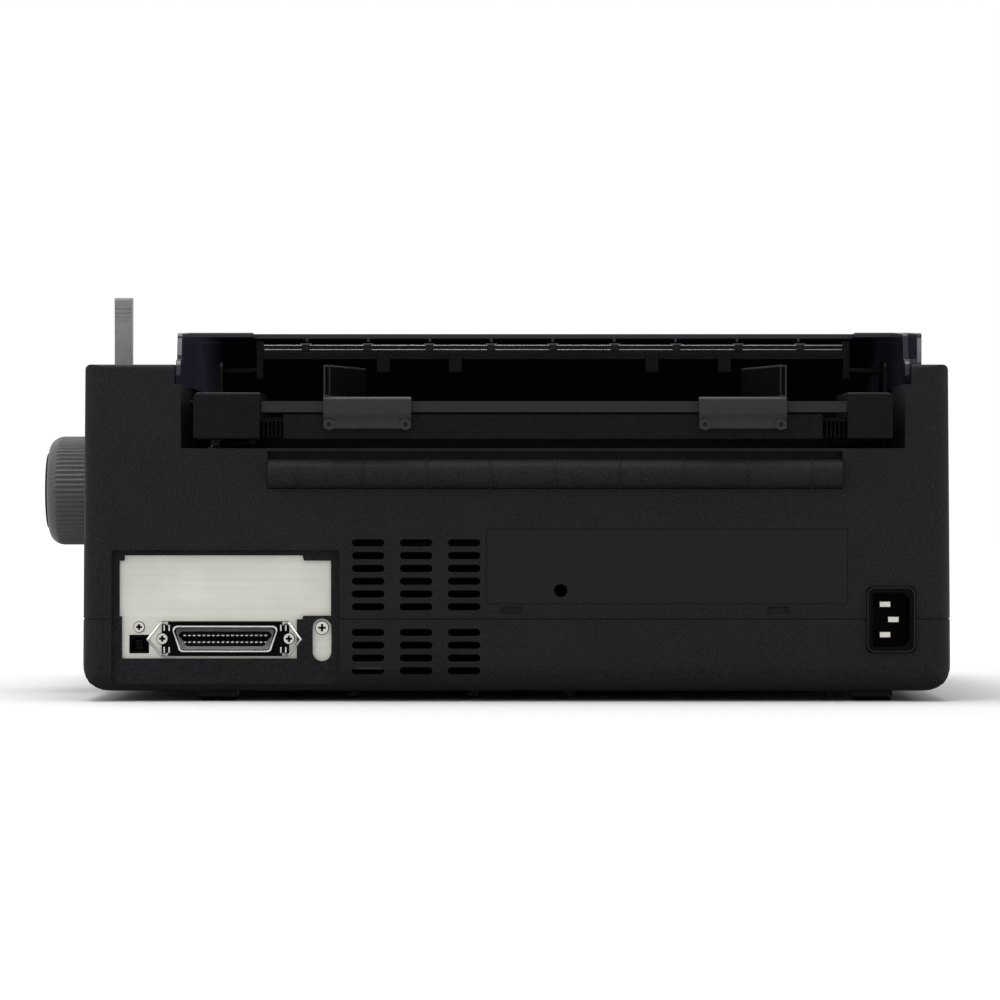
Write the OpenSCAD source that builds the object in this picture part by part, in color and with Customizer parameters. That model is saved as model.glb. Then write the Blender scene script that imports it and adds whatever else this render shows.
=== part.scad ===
/* [Case] */
// Width of the case at its foot
body_w = 394; // [380:1:410]
// Depth of the case from nose to rear face
body_d = 344; // [336:1:352]
// Height of the two side pods above the table
pod_top_z = 152.4; // [150:0.1:154]
// Height of the case floor above the table
case_bottom_z = 4.4; // [4:0.1:5]
// Wall thickness of both case shells
wall = 2.5; // [2:0.1:3]
// Height of the line where the two case shells meet
parting_z = 37; // [36:0.1:38]
// How much narrower each side of the case is at the top
side_draft = 1.5; // [1:0.1:2]
// Radius of the upright corners at the rear
rear_corner_r = 12; // [8:0.5:14]
// Radius of the long edges under the case
bottom_edge_r = 12.5; // [9:0.5:14]
// Radius of the edges on top of the pods
top_edge_r = 2.5; // [1.5:0.1:4]
// Height of the rear wall between the pods
rear_wall_z = 114.5; // [114:0.1:114.6]
// Room between the far side frame and the case's side
far_room = 23.7; // [22:0.1:26]
// Room for gears and levers between the knob-side frame and the case's side
knob_room = 58.3; // [56:0.1:62]
// Gap between the knob-side frame and the edge of the opening
knob_side_gap = 13.1; // [12.5:0.1:14]
// Gap between the far side frame and the edge of the opening
far_side_gap = 2.2; // [1.6:0.1:3]
// Height of the step that the cover's arms stand on
rebate_z = 143.4; // [142.5:0.1:144]
// Width of that step
rebate_w = 3.1; // [3:0.1:3.6]
// Height of the case where the sloping front deck begins
deck_z = 118; // [114:1:120]
// Height of the case at its nose
nose_z = 90; // [86:1:94]

/* [Vents] */
// Length of one vent slot
vent_len = 14.6; // [12:0.1:16]
// Height of one vent slot
vent_h = 3.2; // [2.6:0.1:3.8]
// Distance between rows of vents
vent_pitch_z = 5.78; // [5.5:0.01:6]
// Distance between columns of vents
vent_pitch_x = 21.7; // [20:0.1:23]

/* [Paper path] */
// Length of the paper lip at the rear
lip_len = 259.4; // [250:0.1:262]
// Radius of the half-round paper lip
lip_r = 6.45; // [5.5:0.05:7]
// Height of the middle of the paper lip
lip_z = 102.95; // [102:0.05:104]
// Distance between the ribs of the paper path
rib_pitch = 29; // [27:0.1:30]
// Number of ribs across the paper path
rib_count = 9; // [7:1:9]
// Length of the platen's rubber
platen_len = 260; // [252:1:266]
// Radius of the platen's rubber
platen_r = 16.5; // [15:0.1:16.8]
// Radius of the platen shaft
platen_shaft_r = 4; // [3.5:0.1:4.5]
// Platen axis, behind the plane that places are measured from
platen_y = 40; // [38:0.5:42]
// Height of the platen axis
platen_z = 95.6; // [94:0.1:97]

/* [Knob] */
// Distance that the platen knob stands out of the case
knob_out = 27; // [24:0.5:30]
// Radius of the platen knob
knob_r = 25.9; // [23:0.1:27]
// Number of flutes round the knob
flute_count = 68; // [48:1:72]
// Depth of the flutes
flute_depth = 0.7; // [0.4:0.1:1]
// Radius of the end cap
knob_cap_r = 18.3; // [14:0.1:20]

/* [Printer cover] */
// Height of the cover's top
cover_top_z = 169.4; // [168:0.1:171]
// Thickness of the cover's top and arms
cover_t = 2.2; // [1.8:0.1:2.6]
// Rear edge of the cover beside the sheet guide
cover_rear_y = 95; // [92:0.5:96]
// How far the middle of the cover is cut back
cover_notch = 20; // [18:0.5:22]
// Cover hinge axis, behind the plane that places are measured from
cover_pivot_y = 160; // [159:0.1:161]
// Height of the cover hinge axis
cover_pivot_z = 149.4; // [149.2:0.1:149.6]

/* [Sheet guide] */
// Sheet guide pivot axis, behind the plane that places are measured from
guide_pivot_y = 105; // [104:0.5:107]
// Height of the sheet guide pivot axis
guide_pivot_z = 136; // [135:0.1:137]
// How far the guide's end blocks stand out behind the case
guide_overhang = 4; // [2:0.1:5]
// Lowest point of the sheet guide
guide_bottom_z = 118.4; // [117.5:0.1:119]
// Top of the sheet guide's end blocks
guide_top_z = 139.6; // [138.5:0.1:140.5]
// Width of the end block on the knob side
knob_block_w = 30; // [28:0.1:31]
// Width of the end block on the far side
far_block_w = 20.3; // [19:0.1:22]
// Gap between an end block and the pod beside it
block_gap = 5.8; // [5:0.1:6.5]
// Width of one edge guide
edge_guide_w = 39.5; // [36:0.1:42]
// Height of the edge guides' fins
fin_top_z = 152; // [148:0.1:153]
// Gap between the two edge guides
edge_guide_gap = 130; // [120:1:134]

/* [Engine] */
// Thickness of the steel side frames
frame_t = 1.5; // [1.2:0.1:1.8]
// Radius of the carriage shaft
carriage_shaft_r = 5; // [4.5:0.1:5.5]
// Carriage shaft axis, behind the plane that places are measured from
carriage_shaft_y = -5; // [-6:0.5:-4]
// Height of the carriage shaft axis
carriage_shaft_z = 78; // [77:0.5:79]
// Width of the carriage
carriage_w = 44; // [38:1:48]
// Radius of the two belt pulleys
pulley_r = 6; // [5.5:0.1:7]
// Distance from each side frame to the pulley axis beside it
pulley_inset = 20.5; // [19:0.5:24]
// Thickness of the toothed belt
belt_t = 1.2; // [1:0.1:1.4]
// Tooth module of the paper feed gears
gear_module = 1; // [0.95:0.01:1.02]
// Width of the paper feed gears
gear_w = 6; // [5:0.1:7]
// Height that the tractors lie below the platen axis
tractor_drop = 7.6; // [6:0.1:9]
// Width of one tractor
tractor_w = 22; // [20:0.5:24]
// Distance from the path's middle to each tractor's middle
tractor_x = 112; // [108:0.5:116]

/* [Release lever] */
// Height of the release lever's tip
lever_top_z = 187.6; // [184:0.1:190]
// Width of the release lever
lever_w = 8.2; // [7:0.1:9]
// Height of the release lever's pivot
lever_pivot_z = 125; // [124:0.5:127]

/* [Interface panel] */
// Width of the recess round the interface plate
recess_w = 103; // [101:0.1:105]
// Height of the recess round the interface plate
recess_h = 60.6; // [59:0.1:62]
// Distance from the recess to the case's side
recess_inset = 13.8; // [13:0.1:16]
// How deep the interface plate lies behind the rear face
recess_depth = 4; // [3:0.1:5]
// Thickness of the interface plate
plate_t = 1.2; // [1:0.1:1.5]
// Distance between contacts of the ribbon connector
contact_pitch = 2.16; // [2.1:0.01:2.2]
// Number of contacts in each of its two rows
contact_count = 18; // [12:1:18]

/* [Mains inlet] */
// Distance from the middle of the inlet to the case's side
inlet_inset = 27.8; // [26:0.1:30]
// Width of the inlet's flange
inlet_w = 22.3; // [21:0.1:24]
// Height of the inlet's flange
inlet_h = 30; // [28:0.1:31]
// Depth of the inlet's socket
socket_depth = 17; // [15:0.5:19]

/* [Front] */
// Distance from the case's far side to the front cover
front_cover_inset = 47; // [45:1:60]
// Width of the front cover
front_cover_w = 220; // [200:1:230]
// Height of the front cover
front_cover_h = 46; // [40:1:50]
// Distance between the panel's buttons
button_pitch = 17; // [16:0.5:18]
// Width of one button
button_w = 12; // [10:0.5:13]

/* [Fits] */
// Clearance between pieces that lie close together
seat_gap = 0.3; // [0.25:0.01:0.4]
// Radial clearance of a shaft in its bore
run_gap = 0.05; // [0.03:0.01:0.09]

/* [Hidden] */
$fn = 48;
over = 1;
arc_steps = 6;

case_black = "#262627";
smoke = "#1b1a26";
grey = "#6e6f70";
steel = "#c2c4c6";
plate_steel = "#d0d0c8";
rubber = "#1a1a1a";
gear_white = "#d8d5c8";
brass = "#c9a24a";
lever_brown = "#8a6f2c";
ink_black = "#1d1d20";
board_green = "#2c5a36";

// Places along Y are measured from a plane this far ahead of the rear face
rear_y = 172;
front_y = rear_y - body_d;
rib_rise = 0.5;
rear_out = seat_gap + lip_r + rib_rise;
centre_x = -knob_out / 2;
centre_y = -(rear_y + rear_out + front_y) / 2;
deck_y = -62;
pod_flat_y = 12;
deck_slope = atan2(deck_z - nose_z, deck_y - front_y);
deck_len = norm([deck_y - front_y, deck_z - nose_z]);

path_x = (far_room - knob_room) / 2;
frame_knob_x = body_w / 2 - knob_room - frame_t;
frame_far_x = far_room + frame_t - body_w / 2;
open_knob_x = frame_knob_x + frame_t + knob_side_gap;
open_far_x = frame_far_x - frame_t - far_side_gap;
pod_inner_knob = open_knob_x + rebate_w + wall;
pod_inner_far = open_far_x - rebate_w - wall;
pod_wall_bottom_z = 100;

frame_foot_z = 20;
frame_front_z = 100;
frame_front_y = -95;
frame_step_y = -40;
frame_top_y = 60;
frame_top_z = 130;
frame_rear_z = 104;
frame_post = [10, 10];
frame_post_y = [-70, 40];
journal_len = 10;

lip_x0 = path_x - lip_len / 2;
lip_x1 = path_x + lip_len / 2;
lip_slot_depth = 5.5;
lip_slot_top_z = rear_wall_z - 1.4;

recess_x0 = body_w / 2 - recess_inset - recess_w;
recess_x1 = recess_x0 + recess_w;
recess_z0 = 7.9;
recess_floor_t = 2;
recess_floor_y = rear_y - recess_depth;
plate_y = recess_floor_y - recess_floor_t - seat_gap;
connector_x = recess_x0 + recess_w / 2 + 0.3;
connector_z = recess_z0 + 20.3;
connector_reach = 28.6;
connector_rise = 7.6;
shell_top_w = 47.2;
shell_foot_w = 42.2;
shell_h = 11.6;
tongue_w = 41.8;
contact_w = 1.1;
usb_x = recess_x1 - 12.1;
usb_z = recess_z0 + 17.9;
usb_reach = 4.2;
usb_rise = 3.9;
usb_cut = 1.5;

vent_x0 = recess_x0 - 13;
vent_x = [vent_x0, vent_x0 - vent_pitch_x, vent_x0 - 2 * vent_pitch_x];
vent_first = 5.8;
vents_above = 6;
vents_below = 4;
post_x = 26.4;
post_z = 5;
post_w = 2.8;
post_h = 2.6;
bail_reach = 8.1;
bail_wire_r = 0.6;
bail_bend_r = bail_wire_r + 0.04;
bail_elbow = [2.6, 2.34, 0.052];
bail_y = recess_floor_y + 0.6;
window_w = recess_w - 3.3;
window_h = recess_h - 2.5;
window_points = [
    [window_w - 2.3, window_h], [16.8, window_h], [16.2, window_h - 2.4], [3.9, window_h - 2.4],
    [3.9, 30.8], [16.6, 30.7], [16.9, 29.1], [19.4, 29.1], [19.4, 11.4], [window_w - 1.1, 11.4],
    [window_w - 1.1, 30.5], [window_w, 30.5], [window_w, window_h - 2.4], [window_w - 2.2, window_h - 2.4],
];
slot_screw_x = recess_x0 + 8;
slot_screw_w = 8.5;
slot_screw_z0 = recess_z0 + 10.2;
slot_screw_z1 = recess_z0 + 29.5;
screw_places = [
    [usb_x, recess_z0 + 25.6, 2.3],
    [slot_screw_x, recess_z0 + 25.3, 2.9],
    [connector_x + 28.6, connector_z, 2.4],
    [connector_x - 28.8, connector_z, 2.4],
];

screw_r = 1.4;
screw_head_h = 1.5;
screw_cross_w = 1;
foot_x = [body_w / 2 - 61, 35 - body_w / 2];
foot_y = [front_y + 32, rear_y - 24];
foot_w = 16;
foot_h = 1.6;
peg_x = [74.6, 20, -24, -142.7];
peg_y = rear_y - 22;
peg_r = 2.65;
peg_foot_z = 1.8;

inlet_x = inlet_inset - body_w / 2;
inlet_z = parting_z;
inlet_lip = 1.6;
inlet_bore = 5.6;
pin_size = [4.8, 2.4];
pin_behind = 3;
pin_places = [[2.5, 6.9], [-1.3, 0], [2.5, -6.9]];

board_z = 14;
board_t = 1.6;
board_x = [recess_x0 - 20.2, recess_x1 + 0.8];
board_y = [rear_y - 112, rear_y - 14];
supply_x = [inlet_x + 19.2, inlet_x + 109.2];
supply_y = [rear_y - 112, rear_y - 22];
board_posts = [
    for (x = [board_x[0] + 12, board_x[1] - 8, supply_x[0] + 10, supply_x[1] - 10], y = [10, 80])
    [x, board_y[0] + y]
];

label_x0 = inlet_x + inlet_w / 2 + 8.35;
label_x1 = vent_x[2] - vent_len / 2 - 2.6;
label_z0 = parting_z + 7.1;
label_z1 = label_z0 + 33.9;
label_depth = 0.4;
label_hole = [label_x1 - 33.8, label_z0 + 6];
label_hole_r = 2.95;
latch_x = [label_x1 - 11.7, label_x0 + 31.6];
latch_w = 9.6;
latch_z = [parting_z + 2.6, parting_z + 5.9];

guide_knob_x = open_knob_x - block_gap;
guide_far_x = open_far_x + block_gap;
guide_front_y = guide_pivot_y - 5;
guide_rear_y = rear_y + guide_overhang;
rail_x1 = guide_knob_x - knob_block_w;
rail_x0 = guide_far_x + far_block_w;
rail_z0 = 130.6;
rail_z1 = 135.8;
rail_y0 = guide_rear_y - 8;
rail_y1 = guide_rear_y - 2;
sheet_z = 128.4;
guide_pin_r = 1.5;
fin_len = 52;
edge_knob_x = path_x + edge_guide_gap / 2;
edge_far_x = path_x - edge_guide_gap / 2;

cover_knob_x = open_knob_x + rebate_w - seat_gap;
cover_far_x = open_far_x - rebate_w + seat_gap;
cover_wide_x = cover_far_x - 6.4;
cover_front_y = deck_y - 2;
cover_crest_y = 5;
cover_arm_y = cover_pivot_y - 8;
cover_end_r = cover_pivot_z - rebate_z - seat_gap;
cover_pin_r = 2.5;
pod_slope = (pod_top_z - deck_z) / (pod_flat_y - deck_y);
arm_meet_y = deck_y + (rebate_z - deck_z) / pod_slope;
arm_foot = [
    [cover_front_y, deck_z + seat_gap],
    [deck_y, deck_z + 2 * seat_gap],
    [arm_meet_y, rebate_z + 2 * seat_gap],
];

tension_inset = 15.5;
tension_end = 3;
tension_x0 = frame_far_x + tension_inset;
tension_x1 = frame_knob_x - tension_inset;
tension_y0 = 78;
tension_y1 = 90;
tension_z0 = 157.1;
tension_z1 = 160.3;
tension_pin_y = 85;
tension_pin_z = 151.5;
tension_pin_r = 1.5;
roller_r = 2;
roller_rod_r = 1.2;
roller_y = 84;
roller_z = 162.6;

knob_face_x = body_w / 2 - side_draft / 2 + 2 * seat_gap;
knob_end_x = body_w / 2 + knob_out;
knob_rim = 3;
bush_r = 7;

chute_t = 1.8;
chute_gap = 2;
chute_len = 68;

platen_teeth = 40;
feed_teeth = 28;
tractor_teeth = 32;
pinion_teeth = 14;
pitch_platen = gear_module * platen_teeth / 2;
pitch_feed = gear_module * feed_teeth / 2;
pitch_tractor = gear_module * tractor_teeth / 2;
pitch_pinion = gear_module * pinion_teeth / 2;
train_len = pitch_platen + 4 * pitch_feed + pitch_tractor;
train_angle = -asin(tractor_drop / train_len);
train = [cos(train_angle), sin(train_angle)];
platen_at = [platen_y, platen_z];
feed_front_at = platen_at + (pitch_platen + pitch_feed) * train;
feed_rear_at = feed_front_at + 2 * pitch_feed * train;
tractor_at = feed_rear_at + (pitch_feed + pitch_tractor) * train;
pinion_at = feed_front_at + (pitch_feed + pitch_pinion) * [train[1], -train[0]];
gear_x = frame_knob_x + frame_t + 2.5;
gear_pin_r = 2.5;
motor_shaft_r = 1.5;
feed_motor_len = 30;
frame_rear_y = tractor_at[0] + 13.3;
frame_ear_y = [tension_pin_y - 11, tension_pin_y + 11];
frame_ear_z = tension_pin_z + 4.5;
tractor_bar = 6;
tractor_journal_r = tractor_bar / sqrt(2) + 0.06;
tractor_rod_r = 3;
tractor_rod_drop = 17;
tractor_plate = 4;
tractor_half = 13;
door_hinge_h = 9.6;
door_ear_r = 1.6;
door_pin_r = 0.85;
door_t = 1.6;
sprocket_w = tractor_w - 2 * tractor_plate - 2 * seat_gap - 5;
sprocket_r = 9;

base_z = 50;
base_t = 1.5;
pulley_z = 54;
pulley_h = 8;
pulley_y = -20;
pulley_rim = 2;
base_y = [pulley_y - 25, pulley_y + 22];
motor_hole_r = 5;
carriage_motor_h = 30;
drive_x = frame_far_x + pulley_inset;
idler_x = frame_knob_x - pulley_inset;
pulley_shaft_r = 2;
motor_r = 15.5;
slide_rail_y = [-46, -38];
slide_rail_z = 84;
slide_rail_t = 1.5;

carriage_y = [carriage_shaft_y - 21, carriage_shaft_y + 19];
carriage_z = [carriage_shaft_z - 11.5, carriage_shaft_z + 9];
carriage_hook_y = [slide_rail_y[0] + 3, slide_rail_y[1] + seat_gap];
clamp_w = 12;
head_w = 26;
head_y = [-22, 8];
head_fin_w = 34;
head_fin_t = 2;
head_fin_pitch = 4.2;
head_fin_count = 7;
head_fin_top = 112;
head_nose_w = 10;
head_nose_gap = 1.6;
head_nose_h = 9;

cartridge_y0 = -58;
cartridge_y1 = -30;
cartridge_z0 = 104;
cartridge_z1 = 120;
ribbon_y = platen_y - platen_r - 1.1;
cartridge_x0 = frame_far_x + 17.5;
cartridge_x1 = frame_knob_x - 17.5;
arm_w = 7;
mask_half_h = 6.5;
ribbon_knob_x = path_x - 92;
ribbon_knob_y = -45;
ribbon_stem_r = 2;

panel_x1 = body_w / 2 - 11;
panel_x0 = panel_x1 - 96;
panel_y0 = 21.5 - deck_len;
panel_y1 = -22;
panel_t = 1.5;
button_x0 = panel_x0 + 22;
button_y = (panel_y0 + panel_y1) / 2 - 3;
button_d = 7;
button_rise = 2;
button_flange = 1.2;

front_cover_x0 = front_cover_inset - body_w / 2;
front_cover_z0 = 22.4;
front_cover_t = 3.2;
hinge_r = front_cover_t / 2;
hinge_pin_r = 1;
hinge_pin_len = 3.5;

switch_x = 29 - body_w / 2;
switch_z = 52;
switch_w = 12;
switch_h = 18;
switch_pin_r = 1.5;
switch_pin_len = 3;

lever_x = body_w / 2 - side_draft - wall - 1.6 - lever_w / 2;
lever_y = 45;
lever_pin_r = 2;
gap_lever_y = 12;
gap_lever_z = 118;
gap_lever_x = frame_knob_x - 10;

function fillet(p, q, s) =
    let (a = [p[0] - q[0], p[1] - q[1]], b = [s[0] - q[0], s[1] - q[1]],
         u = a / norm(a), w = b / norm(b), half = acos(u * w) / 2, r = q[2],
         c = [q[0], q[1]] + (u + w) / norm(u + w) * r / sin(half),
         p1 = [q[0], q[1]] + u * r / tan(half), p2 = [q[0], q[1]] + w * r / tan(half),
         a1 = atan2(p1[1] - c[1], p1[0] - c[0]), a2 = atan2(p2[1] - c[1], p2[0] - c[0]),
         sweep = (a2 - a1 + 540) % 360 - 180)
    [for (k = [0 : arc_steps]) c + r * [cos(a1 + sweep * k / arc_steps), sin(a1 + sweep * k / arc_steps)]];

function rounded(v) = [for (i = [0 : len(v) - 1]) each v[i][2] > 0
    ? fillet(v[(i + len(v) - 1) % len(v)], v[i], v[(i + 1) % len(v)])
    : [[v[i][0], v[i][1]]]];

function rib_x(i) = path_x + (i - (rib_count - 1) / 2) * rib_pitch;

module in_frame() {
    translate([centre_x, centre_y, 0]) children();
}

module box(lo, hi) {
    translate(lo) cube(hi - lo);
}

module rounded_box(x0, x1, z0, z1, r) {
    polygon(rounded([[x0, z0, r], [x1, z0, r], [x1, z1, r], [x0, z1, r]]));
}

module along_x(x0, x1) {
    translate([x0, 0, 0]) rotate([90, 0, 90]) linear_extrude(x1 - x0) children();
}

module along_y(y0, y1) {
    translate([0, y1, 0]) rotate([90, 0, 0]) linear_extrude(y1 - y0) children();
}

module rod_x(x0, x1, y, z, r) {
    translate([x0, y, z]) rotate([0, 90, 0]) cylinder(h = x1 - x0, r = r);
}

module rod_y(y0, y1, x, z, r) {
    translate([x, y1, z]) rotate([90, 0, 0]) cylinder(h = y1 - y0, r = r);
}

module rod_z(z0, z1, x, y, r) {
    translate([x, y, z0]) cylinder(h = z1 - z0, r = r);
}

module on_deck() {
    translate([0, deck_y, deck_z]) rotate([deck_slope, 0, 0]) children();
}

// Outline of a straight-flanked gear with a little backlash
module gear_outline(teeth, phase) {
    pitch_r = gear_module * teeth / 2;
    tooth = 360 / teeth;
    polygon([for (i = [0 : teeth - 1]) each [
        for (s = [[-0.31, -1.2], [-0.215, 0], [-0.1, 0.85], [0.1, 0.85], [0.215, 0], [0.31, -1.2]])
        (pitch_r + s[1] * gear_module) * [cos((i + phase + s[0]) * tooth + train_angle),
                                          sin((i + phase + s[0]) * tooth + train_angle)]
    ]]);
}

module gear(teeth, phase, at, bore_r, hub_r) {
    difference() {
        union() {
            along_x(gear_x, gear_x + gear_w) translate(at) gear_outline(teeth, phase);
            rod_x(gear_x - 2.5 + seat_gap, gear_x + over, at[0], at[1], hub_r);
        }
        rod_x(gear_x - 5, gear_x + gear_w + over, at[0], at[1], bore_r);
    }
}

// The case as one rounded block, shrunk by an inset for its inside
module case_form(inset) {
    w = body_w / 2 - inset;
    top = pod_top_z - inset;
    low = case_bottom_z + inset;
    intersection() {
        along_x(-w, w) polygon(rounded([
            [rear_y - inset, low, bottom_edge_r - inset],
            [rear_y - inset, top, max(top_edge_r - inset, 0)],
            [pod_flat_y - inset / 4, top, 18],
            [deck_y - inset / 4, deck_z - inset, 18],
            [front_y + inset, nose_z - inset, 10 - inset],
            [front_y + inset, low, 8 - inset],
        ]));
        along_y(front_y, rear_y) polygon(rounded([
            [w, low, bottom_edge_r - inset],
            [w - side_draft, top, max(top_edge_r - inset, 0)],
            [-w + side_draft, top, max(top_edge_r - inset, 0)],
            [-w, low, bottom_edge_r - inset],
        ]));
        translate([0, 0, low]) linear_extrude(top - low) polygon(rounded([
            [w, rear_y - inset, rear_corner_r - inset],
            [-w, rear_y - inset, rear_corner_r - inset],
            [-w, front_y + inset, 20 - inset],
            [w, front_y + inset, 20 - inset],
        ]));
    }
}

module case_shell() {
    difference() {
        case_form(0);
        case_form(wall);
    }
}

module vent_slot(x, z) {
    along_y(rear_y - 9, rear_y + over) translate([x, z]) {
        square([vent_len - vent_h, vent_h], center = true);
        translate([(vent_len - vent_h) / 2, 0]) circle(d = vent_h);
        translate([(vent_h - vent_len) / 2, 0]) circle(d = vent_h);
    }
}

module recess_outline(grow) {
    rounded_box(recess_x0 - grow, recess_x1 + grow, recess_z0 - grow, recess_z0 + recess_h + grow, 1.6);
}

// The recessed tray round the interface panel, cut to the case's outside
module recess_tray() {
    intersection() {
        along_y(recess_floor_y - recess_floor_t, rear_y) recess_outline(2);
        case_form(0);
    }
}

module recess_cut() {
    along_y(recess_floor_y, rear_y + over) recess_outline(0);
    along_y(recess_floor_y - recess_floor_t - over, rear_y)
        translate([recess_x0, recess_z0]) polygon(window_points);
    along_y(recess_floor_y - recess_floor_t - over, rear_y) {
        translate([slot_screw_x, slot_screw_z0 + slot_screw_w / 2]) circle(d = slot_screw_w);
        translate([slot_screw_x, slot_screw_z1 - slot_screw_w / 2]) circle(d = slot_screw_w);
        translate([slot_screw_x - slot_screw_w / 2, slot_screw_z0 + slot_screw_w / 2])
            square([slot_screw_w, slot_screw_z1 - slot_screw_z0 - slot_screw_w]);
    }
}

module inlet_cut() {
    translate([inlet_x, rear_y, inlet_z])
        cube([inlet_w - 2 * inlet_lip, 6 * wall, inlet_h - 2 * inlet_lip], center = true);
}

module front_window_cut() {
    box([front_cover_x0 - seat_gap, front_y - over, front_cover_z0 - seat_gap],
        [front_cover_x0 + front_cover_w + seat_gap, front_y + wall + over,
         front_cover_z0 + front_cover_h + seat_gap]);
}

// A shallow groove along the line where the shells meet
module parting_groove() {
    difference() {
        translate([-body_w, -body_d, parting_z]) cube([2 * body_w, 2 * body_d, 0.5]);
        case_form(0.5);
    }
}

module lower_case() {
    color(case_black) in_frame() difference() {
        union() {
            intersection() {
                union() {
                    case_shell();
                    recess_tray();
                }
                box([-body_w, -body_d, 0], [body_w, body_d, parting_z]);
            }
            for (x = [frame_knob_x, frame_far_x], y = frame_post_y)
                box([x - 3, y - frame_post[0], case_bottom_z + 1], [x + 3, y + frame_post[1], frame_foot_z]);
            for (q = board_posts)
                rod_z(case_bottom_z + 1, board_z, q[0], q[1], 3);
            for (x = foot_x, y = foot_y)
                box([x - foot_w / 2 - 1, y - foot_w / 2 - 1, foot_h],
                    [x + foot_w / 2 + 1, y + foot_w / 2 + 1, case_bottom_z + 1]);
            for (x = peg_x)
                rod_z(peg_foot_z, case_bottom_z + 1, x, peg_y, peg_r);
            front_cover_bosses();
        }
        for (x = vent_x, k = [0 : vents_below - 1])
            vent_slot(x, parting_z - vent_first - k * vent_pitch_z);
        recess_cut();
        inlet_cut();
        front_window_cut();
        front_hinge_bores();
    }
}

module front_cover_bosses() {
    for (x = [front_cover_x0 - seat_gap - 6, front_cover_x0 + front_cover_w + seat_gap])
        box([x, front_y + 0.6, front_cover_z0 - 4],
            [x + 6, front_y + wall + 2, front_cover_z0 + 8]);
}

module front_hinge_bores() {
    rod_x(front_cover_x0 - hinge_pin_len - 1, front_cover_x0 + front_cover_w + hinge_pin_len + 1,
          front_y + hinge_r, front_cover_z0 + hinge_r, hinge_pin_r + run_gap);
}

module pod_walls() {
    intersection() {
        union() {
            box([open_knob_x, deck_y - 6, pod_wall_bottom_z], [pod_inner_knob, rear_y - 1, pod_top_z]);
            box([pod_inner_far, deck_y - 6, pod_wall_bottom_z], [open_far_x, rear_y - 1, pod_top_z]);
            box([open_far_x - 1, deck_y - 6, pod_wall_bottom_z], [open_knob_x + 1, deck_y - 4, deck_z]);
        }
        case_form(0.05);
    }
}

module cover_opening() {
    box([open_far_x, deck_y - 4, rear_wall_z], [open_knob_x, rear_y + over, pod_top_z + over]);
    box([open_far_x - rebate_w, deck_y - 4, rebate_z],
        [open_knob_x + rebate_w, rear_y + over, pod_top_z + over]);
    rod_x(open_far_x - rebate_w - wall - over, open_knob_x + rebate_w + wall + over,
          cover_pivot_y, cover_pivot_z, cover_pin_r + run_gap);
    rod_x(open_far_x - 4, open_knob_x + 4, guide_pivot_y, guide_pivot_z, guide_pin_r + run_gap);
}

module upper_case() {
    color(case_black) in_frame() difference() {
        union() {
            intersection() {
                union() {
                    case_shell();
                    recess_tray();
                }
                box([-body_w, -body_d, parting_z], [body_w, body_d, pod_top_z + over]);
            }
            pod_walls();
            box([lip_x0 - 3, rear_y - lip_slot_depth - 2.5, lip_z - lip_r - 3.3],
                [lip_x1 + 3, rear_y - 1, rear_wall_z]);
            rod_x(lever_x + lever_w / 2 + seat_gap, lever_x + lever_w / 2 + 3.2, lever_y, lever_pivot_z, 5);
            rod_x(lever_x - lever_w / 2 - 3, lever_x + lever_w / 2 + 1, lever_y, lever_pivot_z, lever_pin_r);
            for (side = [-1, 1])
                box([switch_x + side * (switch_w / 2 + 2.3) - 2, front_y + 0.6, switch_z - 5],
                    [switch_x + side * (switch_w / 2 + 2.3) + 2, front_y + 10, switch_z + 5]);
        }
        cover_opening();
        box([lip_x0 - seat_gap, rear_y - lip_slot_depth, lip_z - lip_r - seat_gap],
            [lip_x1 + seat_gap, rear_y + over, lip_slot_top_z]);
        for (x = vent_x, k = [0 : vents_above - 1])
            vent_slot(x, parting_z + vent_first + k * vent_pitch_z);
        recess_cut();
        inlet_cut();
        front_window_cut();
        parting_groove();
        box([label_x0, rear_y - label_depth, label_z0], [label_x1, rear_y + over, label_z1]);
        rod_y(rear_y - wall - over, rear_y + over, label_hole[0], label_hole[1], label_hole_r);
        for (x = latch_x)
            box([x - latch_w / 2, rear_y - 1, latch_z[0]], [x + latch_w / 2, rear_y + over, latch_z[1]]);
        rod_x(body_w / 2 - 8, body_w / 2 + over, platen_y, platen_z, 14);
        box([lever_x - lever_w / 2 - 1, lever_y - 12, pod_top_z - 5],
            [lever_x + lever_w / 2 + 1, lever_y + 12, pod_top_z + over]);
        box([switch_x - switch_w / 2 - seat_gap, front_y - over, switch_z - switch_h / 2 - 0.6],
            [switch_x + switch_w / 2 + seat_gap, front_y + 11, switch_z + switch_h / 2 + 0.6]);
        rod_x(switch_x - switch_w / 2 - switch_pin_len, switch_x + switch_w / 2 + switch_pin_len,
              front_y + 6, switch_z, switch_pin_r + run_gap);
        on_deck() box([panel_x0 + 8, panel_y0 + 10, -8], [panel_x1 - 8, panel_y1 - 10, over]);
    }
}

module rear_paper_lip() {
    color(case_black) in_frame() {
        intersection() {
            along_x(lip_x0, lip_x1) translate([rear_y + seat_gap, lip_z]) circle(lip_r);
            box([lip_x0, rear_y - 2, 0], [lip_x1, rear_y + 20, pod_top_z]);
        }
        box([lip_x0, rear_y - lip_slot_depth + seat_gap, lip_z - lip_r], [lip_x1, rear_y - 1, lip_z + lip_r]);
        intersection() {
            for (i = [0 : rib_count - 1])
                along_x(rib_x(i) - 0.5, rib_x(i) + 0.5)
                    translate([rear_y + seat_gap, lip_z]) circle(lip_r + rib_rise);
            box([lip_x0, rear_y + seat_gap, 0], [lip_x1, rear_y + 20, pod_top_z]);
        }
    }
}

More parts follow.
